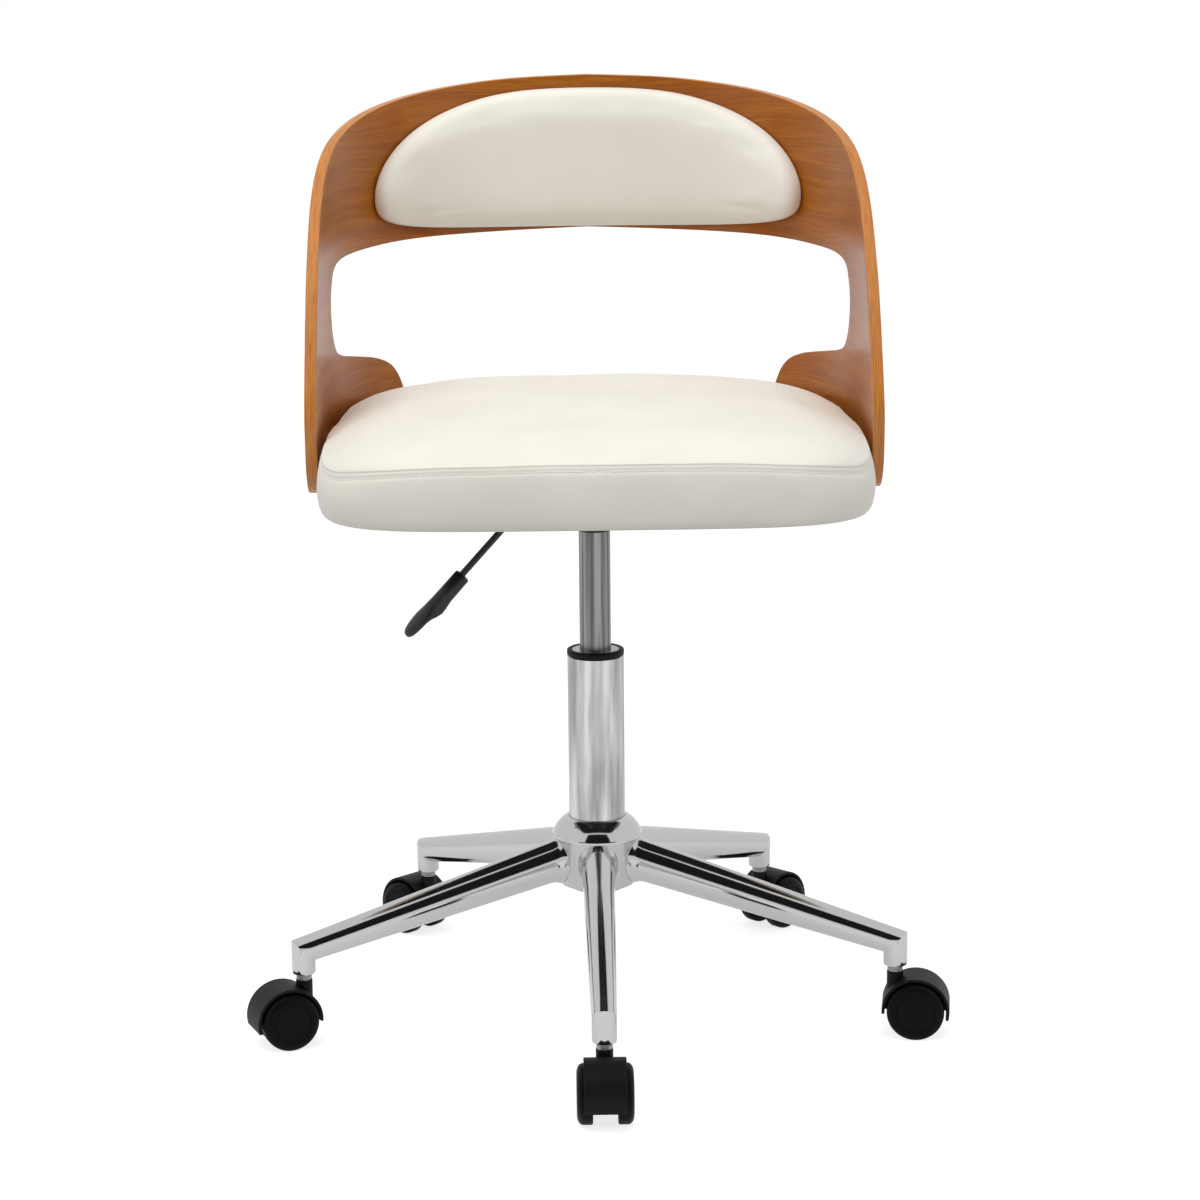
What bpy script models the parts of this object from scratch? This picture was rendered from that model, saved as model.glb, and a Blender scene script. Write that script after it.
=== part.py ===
"""Office chair on casters: a bent plywood back with low arms, a padded seat, a gas lift and a five-leg base.

+Z is up and the sitter faces -Y. The origin is on the floor, under the middle of the chair's plan.
The gas lift stands at the top of its stroke.
"""

import math

import bmesh
import bpy
from mathutils import Matrix, Vector

MM = 0.001
GAP = 0.3 * MM
RUNNING_GAP = 0.3 * MM

# Casters: twin wheels under a hood that trails behind its stem
WHEEL_RADIUS = 25 * MM
WHEEL_SIDES = 20
WHEEL_INNER_FACE = 10.3 * MM
WHEEL_OUTER_FACE = 23.4 * MM
WHEEL_TREAD = 8 * MM
WHEEL_CHAMFER = 1.2 * MM
WHEEL_FACE_RADIUS = 17 * MM
AXLE_RADIUS = 3 * MM
AXLE_HALF_LENGTH = 19.5 * MM
HOOD_CLEARANCE = 1.9 * MM
HOOD_WALL = 2.6 * MM
HOOD_HALF_WIDTH = 17.5 * MM
HOOD_STEM_END = math.radians(-5)
HOOD_TRAIL_END = math.radians(195)
HOOD_ARC_STEPS = 12
HOOD_WEB_HALF = 3 * MM
HOOD_WEB_END = math.radians(8)
HOOD_WEB_DROP = 7 * MM
AXLE_BOSS_RADIUS = 6 * MM
CASTER_TRAIL = 18.3 * MM
STEM_RADIUS = 5.5 * MM
STEM_BOSS_WALL = 1.4 * MM
STEM_BOSS_RISE = 2.7 * MM
STEM_BOSS_DEPTH = 22 * MM
STEM_COLLAR_RADIUS = 6.8 * MM
STEM_COLLAR_HEIGHT = 4.8 * MM
STEM_IN_BOSS = 16 * MM
STEM_IN_LEG = 18 * MM

# Base: a domed hub with tapered tube legs, each turned down into a caster socket
LEG_REACH = 271 * MM
LEG_WALL = 1.8 * MM
LEG_HALF_WIDTH = 14.6 * MM
LEG_HALF_HEIGHT = 19.5 * MM
LEG_RISE_IN_HUB = 1 * MM
LEG_FLARE = 2.2 * MM
LEG_FLARE_SHARE = 0.02
LEG_HOLLOW_SHARE = 0.88
LEG_POINTS = 18
SOCKET_RADIUS = 10.4 * MM
SOCKET_INNER_HEIGHT = 11 * MM
SOCKET_OUTER_HEIGHT = 30 * MM
SOCKET_CHAMFER = 1.8 * MM
HUB_RISE = 54 * MM
HUB_HEIGHT = 46 * MM
HUB_BOTTOM_RADIUS = 33.5 * MM
HUB_RIM_RADIUS = 40 * MM
HUB_DOME_HEIGHT = 16 * MM
HUB_LIP = 3 * MM
HUB_CHAMFER = 1.5 * MM

# Places round the base: name, angle of the leg from the front, heading of the caster's trail.
# Both angles are in degrees, and turn towards the sitter's left.
LEG_STEP = 72
PLACES = (
    ("front", 0, 0),
    ("left_front", LEG_STEP, 82.5),
    ("left_rear", 2 * LEG_STEP, 135),
    ("right_rear", -2 * LEG_STEP, -135),
    ("right_front", -LEG_STEP, -68),
)

# Gas lift
OUTER_TUBE_RADIUS = 25 * MM
OUTER_TUBE_WALL = 2 * MM
OUTER_TUBE_LENGTH = 212 * MM
TUBE_FOOT = 4 * MM
TUBE_FLOOR_RISE = 5.5 * MM
TUBE_FLOOR = 3.5 * MM
GUIDE_FLANGE = 5 * MM
GUIDE_DEPTH = 58 * MM
GUIDE_RECESS_RADIUS = 21 * MM
GUIDE_RECESS = 2 * MM
GUIDE_CHAMFER = 1 * MM
WASHER_THICKNESS = 1.2 * MM
PRESSURE_TUBE_RADIUS = 13.8 * MM
PRESSURE_TUBE_WALL = 2 * MM
PRESSURE_TUBE_LENGTH = 229.5 * MM
TUBE_END_PLATE = 12 * MM
TUBE_TOP_PLATE = 26 * MM
TUBE_NECK_RADIUS = 11.8 * MM
LIFT_STROKE = 95 * MM
CLOSED_GAP = 11 * MM
ROD_RADIUS = 5 * MM
PISTON_HEIGHT = 10 * MM
PISTON_CLEARANCE = 0.4 * MM
BEARING_RADIUS = 11 * MM
BEARING_HEIGHT = 5.5 * MM
SHOULDER_RADIUS = 8 * MM
SHOULDER_HEIGHT = 2.7 * MM
CLIP_RADIUS = 9 * MM
CLIP_HEIGHT = 2 * MM
ROD_TAIL = 1 * MM
BUTTON_RADIUS = 3 * MM
BUTTON_RISE = 5.2 * MM
BUTTON_FLANGE = 1.8 * MM
BUTTON_FLANGE_HEIGHT = 4.5 * MM

# Mechanism under the seat, with the lever that presses the lift's button
CUP_WALL = 8 * MM
CUP_MOUTH_WALL = 1.7 * MM
CUP_MOUTH = 4 * MM
CUP_SKIRT = 14 * MM
CUP_RISE = 8 * MM
CUP_FLANGE = 6 * MM
CUP_FLANGE_HEIGHT = 2.2 * MM
TUBE_IN_CUP = 21.5 * MM
HOUSING_HALF_LENGTH = 42 * MM
HOUSING_HALF_WIDTH = 34 * MM
HOUSING_HEIGHT = 24.5 * MM
HOUSING_WALL = 2.5 * MM
PLATE_HALF_LENGTH = 90 * MM
PLATE_HALF_WIDTH = 75 * MM
PLATE_THICKNESS = 2.5 * MM
PLATE_CORNER = 12 * MM
CORNER_STEPS = 3
SCREW_INSET = 17 * MM
SCREW_RADIUS = 3 * MM
SCREW_HEAD_RADIUS = 6 * MM
SCREW_HEAD_HEIGHT = 3 * MM
SCREW_FACE_RADIUS = 4.2 * MM
SCREW_IN_BOARD = 12 * MM
LEVER_RADIUS = 3 * MM
LEVER_PAST_BUTTON = 2 * MM
LEVER_BEND_START = 7.5 * MM
LEVER_BEND_RADIUS = 14 * MM
LEVER_BEND_STEPS = 5
LEVER_SLOPE = math.radians(48)
LEVER_REACH = 87 * MM
BUSH_WALL = 1.7 * MM
BUSH_PLAY = 0.6 * MM
BUSH_FLANGE = 2.4 * MM
BUSH_FLANGE_THICKNESS = 1.6 * MM
HANDLE_RADIUS = 7.2 * MM
HANDLE_GRIP_LENGTH = 32 * MM
HANDLE_LENGTH = 73 * MM
HANDLE_BORE = 22 * MM
PADDLE_HALF_WIDTH = 10 * MM
PADDLE_HALF_THICKNESS = 3.9 * MM
PADDLE_OFFSET = 2.4 * MM
HANDLE_SIDES = 16

# Sections from the grip to the paddle's tip: how far along, how flat, and how wide of the full width
PADDLE_SECTIONS = ((0.24, 0.5, 1), (0.45, 1, 1), (0.75, 1, 0.92), (0.92, 1, 0.65), (1, 1, 0.3))

# Seat: outline about the column, as seen from above
SEAT_HALF_WIDTH = 225.5 * MM
SEAT_TAPER = 0.058
SEAT_FRONT = 228 * MM
SEAT_BACK = 222 * MM
SEAT_FRONT_SQUARENESS = 5.5
SEAT_BACK_SQUARENESS = 3.9
SEAT_POINTS = 36
BOARD_INSET = 14 * MM
BOARD_THICKNESS = 18 * MM
DUST_COVER_INSET = 24 * MM
DUST_COVER_THICKNESS = 0.6 * MM
BOXING_HEIGHT = 54.5 * MM
CUSHION_CROWN = 19 * MM

# The cushion's sections: the inset in millimetres with the share of the boxing's height, up to the seam,
# then with the share of the crown, and last the share of the outline with that of the crown
BOXING_SECTIONS = ((8, 0), (2.5, 0.05), (0, 0.18), (0, 0.6), (2.5, 0.92), (6.5, 1))
CUSHION_ROLL_SECTIONS = ((6, 0.09), (13, 0.4), (30, 0.64))
CUSHION_DOME_SECTIONS = ((0.8, 0.86), (0.55, 0.96), (0.28, 1))

# Back: a blank of plywood bent round a plan curve, with the pad on its inner face
PLY = 10 * MM
SHELL_SIDE_CLEARANCE = 8 * MM
SHELL_BACK_CLEARANCE = 20 * MM
SHELL_SQUARENESS = 2.7
SHELL_STEPS = 3
SHELL_ROWS = 3
PLAN_SAMPLES = 600
PAD_POINTS = 34
PAD_HALF_LENGTH = 227.5 * MM
PAD_BELOW = 36 * MM
PAD_ABOVE = 92 * MM
PAD_LEVEL = 234.5 * MM
PAD_SQUARENESS_ABOVE = 2.1
PAD_SQUARENESS_BELOW = 3.6
PAD_THICKNESS = 23 * MM
PAD_GAP = 0.8 * MM

# The pad's sections: its back's share of the outline, then the rim's inset in millimetres with its share of
# the thickness, and the crown's share of the outline with that of the thickness
PAD_BACK_SHARES = (0.08, 0.3, 0.5, 0.7, 0.88)
PAD_RIM_SECTIONS = ((0.5, 0.2), (0, 0.42), (3, 0.68), (11, 0.86))
PAD_CROWN_SECTIONS = ((0.85, 0.94), (0.65, 0.98), (0.45, 1), (0.25, 1), (0.08, 1))
PAD_BACK_INSET = 4 * MM

# Bolts from the seat board into the shell's wings
BOLT_RADIUS = 3 * MM
BOLT_LEVEL = 10.5 * MM
BOLT_IN_BOARD = 18 * MM
BOLT_IN_SHELL = 6 * MM
BOLT_LINES = (-30 * MM, 70 * MM)

# The shell's blank, laid flat: pairs of points on its outer and its inner edge, in millimetres.
# Each point is its distance along the curve from the back's middle, and its height over the seat's underside.
SHELL_EDGES = (
    ((0, 338), (0, 198)),
    ((85, 334), (85, 195)),
    ((173, 322), (173, 192)),
    ((247, 304), (237, 188)),
    ((307, 281), (287, 184)),
    ((359, 248), (313, 177)),
    ((415, 202), (324, 164)),
    ((449, 167), (329, 149)),
    ((486, 108), (328, 132)),
    ((501, 76), (322, 116)),
    ((502, 50), (310, 103)),
    ((496, 24), (290, 97)),
    ((474, 5), (270, 94)),
    ((430, 1.5), (250, 91)),
    ((340, 1.5), (225, 87)),
    ((260, 1.5), (206, 80)),
    ((212, 3), (195, 69)),
    ((189, 20), (187, 52)),
)

# Heights, from the floor up
AXLE_Z = WHEEL_RADIUS * math.cos(math.pi / WHEEL_SIDES)
HOOD_RADIUS = WHEEL_RADIUS + HOOD_CLEARANCE + HOOD_WALL
BOSS_TOP_Z = AXLE_Z + HOOD_RADIUS + STEM_BOSS_RISE
SOCKET_Z = BOSS_TOP_Z + STEM_COLLAR_HEIGHT + 2 * GAP
HUB_Z = SOCKET_Z + HUB_RISE
HUB_RIM_Z = HUB_Z + HUB_HEIGHT
TUBE_FOOT_Z = HUB_Z - TUBE_FOOT
TUBE_FLOOR_Z = TUBE_FOOT_Z + TUBE_FLOOR_RISE
BEARING_Z = TUBE_FLOOR_Z + TUBE_FLOOR + GAP
TUBE_TOP_Z = TUBE_FOOT_Z + OUTER_TUBE_LENGTH
GUIDE_TOP_Z = TUBE_TOP_Z + GAP + GUIDE_FLANGE
CUP_Z = GUIDE_TOP_Z + LIFT_STROKE + CLOSED_GAP
PRESSURE_TOP_Z = CUP_Z + TUBE_IN_CUP
PRESSURE_FOOT_Z = PRESSURE_TOP_Z - PRESSURE_TUBE_LENGTH
LEVER_Z = PRESSURE_TOP_Z + BUTTON_RISE + GAP + LEVER_RADIUS
HOUSING_Z = CUP_Z + CUP_SKIRT
PLATE_Z = HOUSING_Z + HOUSING_HEIGHT + GAP
DUST_COVER_Z = PLATE_Z + PLATE_THICKNESS + GAP
SEAT_Z = DUST_COVER_Z + DUST_COVER_THICKNESS + GAP

# Widths that follow from the others
CUP_BORE = TUBE_NECK_RADIUS + GAP
CUP_RADIUS = CUP_BORE + CUP_WALL
BUSH_BORE = LEVER_RADIUS + BUSH_PLAY
BUSH_RADIUS = BUSH_BORE + BUSH_WALL
LEVER_PIVOT_X = -HOUSING_HALF_LENGTH + HOUSING_WALL / 2
SHELL_HALF_WIDTH = SEAT_HALF_WIDTH + SHELL_SIDE_CLEARANCE + PLY
SHELL_BACK = SEAT_BACK + SHELL_BACK_CLEARANCE + PLY


def caster_reach(leg_angle, heading, facing):
    """How far a caster reaches from the column towards the front (facing 1) or the back (facing -1)."""
    along, across = math.cos(math.radians(heading)), abs(math.sin(math.radians(heading)))
    stem = LEG_REACH * math.cos(math.radians(leg_angle))
    hood = HOOD_RADIUS * abs(along) + HOOD_HALF_WIDTH * across
    wheels = WHEEL_RADIUS * abs(along) + WHEEL_OUTER_FACE * across
    return facing * (stem + CASTER_TRAIL * along) + max(hood, wheels)


# The column stands a little behind the middle of the plan, which runs from the front caster to a rear one
FRONT_REACH = max(caster_reach(angle, heading, 1) for _, angle, heading in PLACES)
REAR_REACH = max(caster_reach(angle, heading, -1) for _, angle, heading in PLACES)
COLUMN_Y = (FRONT_REACH - max(REAR_REACH, SHELL_BACK)) / 2


def clear_scene():
    for obj in list(bpy.data.objects):
        bpy.data.objects.remove(obj, do_unlink=True)


def make_material(name, color, roughness, metallic=0.0):
    material = bpy.data.materials.new(name)
    material.use_nodes = True
    shader = material.node_tree.nodes["Principled BSDF"]
    shader.inputs["Base Color"].default_value = (*color, 1)
    shader.inputs["Roughness"].default_value = roughness
    shader.inputs["Metallic"].default_value = metallic
    material.diffuse_color = (*color, 1)
    return material


def add_axis(name, parent, location=(0, 0, 0), turn=0.0):
    """An empty that carries the pieces of one moving body."""
    empty = bpy.data.objects.new(name, None)
    bpy.context.scene.collection.objects.link(empty)
    empty.parent = parent
    empty.location = location
    empty.rotation_euler = (0, 0, turn)
    empty.empty_display_size = 0.03
    return empty


def add_object(name, mesh, material, parent):
    obj = bpy.data.objects.new(name, mesh)
    bpy.context.scene.collection.objects.link(obj)
    obj.parent = parent
    if not mesh.materials:
        mesh.materials.append(material)
    return obj


def to_mesh(name, bm, smooth_angle=35):
    bmesh.ops.recalc_face_normals(bm, faces=bm.faces)
    mesh = bpy.data.meshes.new(name)
    bm.to_mesh(mesh)
    bm.free()
    mesh.shade_smooth()
    mesh.set_sharp_from_angle(angle=math.radians(smooth_angle))
    return mesh


def turned(profile, sides, closed=True, phase=0.0):
    """A profile of (radius, height) points spun round Z. An open profile starts and ends on the axis."""
    bm = bmesh.new()
    start = Matrix.Rotation(phase, 3, "Z")
    verts = [bm.verts.new(start @ Vector((radius, 0, z))) for radius, z in profile]
    pairs = list(zip(verts, verts[1:]))
    if closed:
        pairs.append((verts[-1], verts[0]))
    edges = [bm.edges.new(pair) for pair in pairs]
    bmesh.ops.spin(
        bm, geom=verts + edges, axis=(0, 0, 1), cent=(0, 0, 0), steps=sides, angle=math.tau, use_merge=True
    )
    bmesh.ops.remove_doubles(bm, verts=bm.verts, dist=0.001 * MM)
    return bm


def lofted(rings):
    """A closed body through rings of as many points each, capped at both ends."""
    bm = bmesh.new()
    loops = [[bm.verts.new(point) for point in ring] for ring in rings]
    count = len(loops[0])
    for low, high in zip(loops, loops[1:]):
        for i in range(count):
            j = (i + 1) % count
            bm.faces.new((low[i], low[j], high[j], high[i]))
    bm.faces.new(reversed(loops[0]))
    bm.faces.new(loops[-1])
    return bm


def add_cylinder(bm, start, end, radius, sides=12):
    """A cylinder from start to end, in bm."""
    start, end = Vector(start), Vector(end)
    along = end - start
    turn = along.to_track_quat("Z", "Y").to_matrix().to_4x4()
    bmesh.ops.create_cone(
        bm,
        cap_ends=True,
        segments=sides,
        radius1=radius,
        radius2=radius,
        depth=along.length,
        matrix=Matrix.Translation((start + end) / 2) @ turn,
    )


def cylinders(name, spans, sides=12):
    """One mesh of cylinders, each a (start, end, radius)."""
    bm = bmesh.new()
    for start, end, radius in spans:
        add_cylinder(bm, start, end, radius, sides)
    return to_mesh(name, bm)


def add_tool(name, mesh, parent):
    """A hidden body that a Boolean reads."""
    tool = bpy.data.objects.new(name, mesh)
    bpy.context.scene.collection.objects.link(tool)
    tool.parent = parent
    tool.hide_render = True
    tool.display_type = "WIRE"
    return tool


def combine(obj, tool, operation):
    boolean = obj.modifiers.new(tool.name, "BOOLEAN")
    boolean.operation = operation
    boolean.object = tool


def bake_shape(obj, name):
    """The object's mesh with its modifiers in it, to be shared by copies."""
    bpy.context.view_layer.update()
    graph = bpy.context.evaluated_depsgraph_get()
    mesh = bpy.data.meshes.new_from_object(obj.evaluated_get(graph))
    mesh.name = name
    return mesh


def between(a, b, share):
    return a + (b - a) * share


def signed_power(value, exponent):
    return math.copysign(abs(value) ** exponent, value)


def heading_turn(degrees):
    """The turn about Z that points +X at a heading, counted from the front towards the sitter's left."""
    return math.radians(degrees - 90)


# Casters


def hood_mesh(materials, parent):
    """Hood, web, stem boss and axle boss in one, with +X as the trail and the stem's axis at the origin."""
    axle = Vector((CASTER_TRAIL, 0, AXLE_Z))
    inner = HOOD_RADIUS - HOOD_WALL

    def on_arc(radius, angle, side):
        # Angle 0 is the stem's side, and 180 degrees the trailing side
        return axle + Vector((-radius * math.cos(angle), side, radius * math.sin(angle)))

    def arc_angles(start, end):
        return [between(start, end, k / HOOD_ARC_STEPS) for k in range(HOOD_ARC_STEPS + 1)]

    rings = [
        [
            on_arc(inner, angle, -HOOD_HALF_WIDTH),
            on_arc(inner, angle, HOOD_HALF_WIDTH),
            on_arc(HOOD_RADIUS, angle, HOOD_HALF_WIDTH),
            on_arc(HOOD_RADIUS, angle, -HOOD_HALF_WIDTH),
        ]
        for angle in arc_angles(HOOD_STEM_END, HOOD_TRAIL_END)
    ]
    hood = add_tool("hood_shape", to_mesh("hood_shape", lofted(rings)), parent)

    web_radius = HOOD_RADIUS - HOOD_WALL / 2

    def web_outline(side):
        arc = [on_arc(web_radius, angle, side) for angle in arc_angles(HOOD_WEB_END, math.pi - HOOD_WEB_END)]
        foot = [axle + Vector((x, side, -HOOD_WEB_DROP)) for x in (AXLE_BOSS_RADIUS, -AXLE_BOSS_RADIUS)]
        return arc + foot

    web = lofted([web_outline(-HOOD_WEB_HALF), web_outline(HOOD_WEB_HALF)])
    stem_boss = cylinders(
        "stem_boss_tool",
        [((0, 0, BOSS_TOP_Z - STEM_BOSS_DEPTH), (0, 0, BOSS_TOP_Z), STEM_RADIUS + GAP + STEM_BOSS_WALL)],
        sides=18,
    )
    axle_half = Vector((0, WHEEL_INNER_FACE - RUNNING_GAP, 0))
    axle_boss = cylinders("axle_boss_tool", [(axle - axle_half, axle + axle_half, AXLE_BOSS_RADIUS)])
    bores = cylinders(
        "hood_bores",
        [
            ((0, 0, BOSS_TOP_Z - STEM_IN_BOSS - GAP), (0, 0, BOSS_TOP_Z + HOOD_WALL), STEM_RADIUS + GAP),
            (axle - 2 * axle_half, axle + 2 * axle_half, AXLE_RADIUS + GAP),
        ],
    )
    combine(hood, add_tool("hood_web", to_mesh("hood_web", web), parent), "UNION")
    combine(hood, add_tool("stem_boss", stem_boss, parent), "UNION")
    combine(hood, add_tool("axle_boss", axle_boss, parent), "UNION")
    combine(hood, add_tool("hood_bores", bores, parent), "DIFFERENCE")
    mesh = bake_shape(hood, "caster_hood")
    mesh.materials.clear()
    mesh.materials.append(materials["black_plastic"])
    mesh.shade_smooth()
    mesh.set_sharp_from_angle(angle=math.radians(35))
    return mesh


def wheel_mesh():
    """One wheel about the Y axis, on the +Y side of the hood's web."""
    tread_end = WHEEL_INNER_FACE + WHEEL_TREAD
    shoulder = [
        (
            between(WHEEL_FACE_RADIUS, WHEEL_RADIUS, math.cos(math.radians(angle))),
            between(tread_end, WHEEL_OUTER_FACE, math.sin(math.radians(angle))),
        )
        for angle in (0, 35, 65, 90)
    ]
    profile = (
        (0, AXLE_HALF_LENGTH + RUNNING_GAP),
        (AXLE_RADIUS + RUNNING_GAP, AXLE_HALF_LENGTH + RUNNING_GAP),
        (AXLE_RADIUS + RUNNING_GAP, WHEEL_INNER_FACE),
        (WHEEL_RADIUS - WHEEL_CHAMFER, WHEEL_INNER_FACE),
        (WHEEL_RADIUS, WHEEL_INNER_FACE + WHEEL_CHAMFER),
        *shoulder,
        (0, WHEEL_OUTER_FACE),
    )
    bm = turned(profile, WHEEL_SIDES, closed=False, phase=math.pi / WHEEL_SIDES)
    bmesh.ops.rotate(bm, verts=bm.verts, matrix=Matrix.Rotation(-math.pi / 2, 3, "X"))
    return to_mesh("caster_wheel", bm)


def stem_mesh():
    """The stem's pin, with the collar that shows between the leg's socket and the hood's boss."""
    collar_z = BOSS_TOP_Z + GAP
    profile = (
        (0, BOSS_TOP_Z - STEM_IN_BOSS),
        (STEM_RADIUS, BOSS_TOP_Z - STEM_IN_BOSS),
        (STEM_RADIUS, collar_z),
        (STEM_COLLAR_RADIUS, collar_z),
        (STEM_COLLAR_RADIUS, collar_z + STEM_COLLAR_HEIGHT),
        (STEM_RADIUS, collar_z + STEM_COLLAR_HEIGHT),
        (STEM_RADIUS, SOCKET_Z + STEM_IN_LEG),
        (0, SOCKET_Z + STEM_IN_LEG),
    )
    return to_mesh("caster_stem", turned(profile, 12, closed=False))


def build_casters(chair, materials):
    hood = hood_mesh(materials, chair)
    wheel = wheel_mesh()
    stem = stem_mesh()
    axle_end = Vector((0, AXLE_HALF_LENGTH, 0))
    axle = cylinders("caster_axle", [(-axle_end, axle_end, AXLE_RADIUS)])
    for place, leg_angle, heading in PLACES:
        out = Matrix.Rotation(heading_turn(leg_angle), 3, "Z") @ Vector((LEG_REACH, 0, 0))
        add_object(f"caster_stem_{place}", stem, materials["zinc"], chair).location = out
        swivel = add_axis(f"swivel_{place}", chair, out, heading_turn(heading))
        add_object(f"caster_hood_{place}", hood, materials["black_plastic"], swivel)
        axis = add_axis(f"axle_line_{place}", swivel, (CASTER_TRAIL, 0, AXLE_Z))
        add_object(f"caster_axle_{place}", axle, materials["zinc"], axis)
        add_object(f"wheel_a_{place}", wheel, materials["wheel_plastic"], axis)
        opposite = add_object(f"wheel_b_{place}", wheel, materials["wheel_plastic"], axis)
        opposite.rotation_euler = (0, 0, math.pi)


# Base


def hub_radius(z):
    """Radius of the hub's tapered side at a height."""
    return between(HUB_BOTTOM_RADIUS, HUB_RIM_RADIUS, (z - HUB_Z) / HUB_HEIGHT)


def leg_ring(share, wall, flare=0.0):
    """A ring round the leg, from the hub's side (share 0) to the mitre over the socket (share 1)."""
    ring = []
    hub_centre = HUB_Z + HUB_HEIGHT / 2 + LEG_RISE_IN_HUB
    mitre_centre = SOCKET_Z + (SOCKET_INNER_HEIGHT + SOCKET_OUTER_HEIGHT) / 2
    mitre_half = (SOCKET_OUTER_HEIGHT - SOCKET_INNER_HEIGHT) / 2
    for i in range(LEG_POINTS):
        turn = math.tau * i / LEG_POINTS
        across, up = math.cos(turn), math.sin(turn)
        y = (LEG_HALF_WIDTH - wall + flare) * across
        z = hub_centre + (LEG_HALF_HEIGHT - wall + flare) * up
        start = Vector((math.sqrt(hub_radius(z) ** 2 - y**2) + GAP, y, z))
        radius = SOCKET_RADIUS - wall
        end = Vector((LEG_REACH + radius * up, radius * across, mitre_centre + (mitre_half - wall / 2) * up))
        ring.append(between(start, end, share))
    return ring


def socket_ring(radius, z):
    ring = []
    for i in range(LEG_POINTS):
        turn = math.tau * i / LEG_POINTS
        ring.append(Vector((LEG_REACH + radius * math.sin(turn), radius * math.cos(turn), z)))
    return ring


def leg_mesh():
    """A tapered tube that flares at the hub, and turns down into a bored socket for the caster's stem."""
    bore = STEM_RADIUS + GAP
    rings = [
        leg_ring(LEG_HOLLOW_SHARE, LEG_WALL),
        leg_ring(0, LEG_WALL),
        leg_ring(0, 0, LEG_FLARE),
        leg_ring(LEG_FLARE_SHARE, 0),
        leg_ring(0.5, 0),
        leg_ring(1, 0),
        socket_ring(SOCKET_RADIUS, SOCKET_Z + SOCKET_CHAMFER),
        socket_ring(SOCKET_RADIUS - SOCKET_CHAMFER, SOCKET_Z),
        socket_ring(bore, SOCKET_Z),
        socket_ring(bore, SOCKET_Z + STEM_IN_LEG + GAP),
    ]
    return to_mesh("base_leg", lofted(rings), smooth_angle=50)


def build_base(chair, materials):
    bore = OUTER_TUBE_RADIUS + GAP
    dome = [
        (
            between(bore, HUB_RIM_RADIUS, math.sin(math.radians(angle))),
            HUB_RIM_Z + HUB_DOME_HEIGHT * math.cos(math.radians(angle)),
        )
        for angle in (0, 30, 60, 85)
    ]
    profile = [
        *dome,
        (HUB_RIM_RADIUS, HUB_RIM_Z),
        (hub_radius(HUB_RIM_Z - HUB_LIP), HUB_RIM_Z - HUB_LIP),
        (hub_radius(HUB_Z + HUB_CHAMFER), HUB_Z + HUB_CHAMFER),
        (HUB_BOTTOM_RADIUS - HUB_CHAMFER, HUB_Z),
        (bore, HUB_Z),
    ]
    add_object("base_hub", to_mesh("base_hub", turned(profile, 35)), materials["chrome"], chair)
    leg = leg_mesh()
    for place, leg_angle, _ in PLACES:
        piece = add_object(f"leg_{place}", leg, materials["chrome"], chair)
        piece.rotation_euler = (0, 0, heading_turn(leg_angle))


# Gas lift


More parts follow.
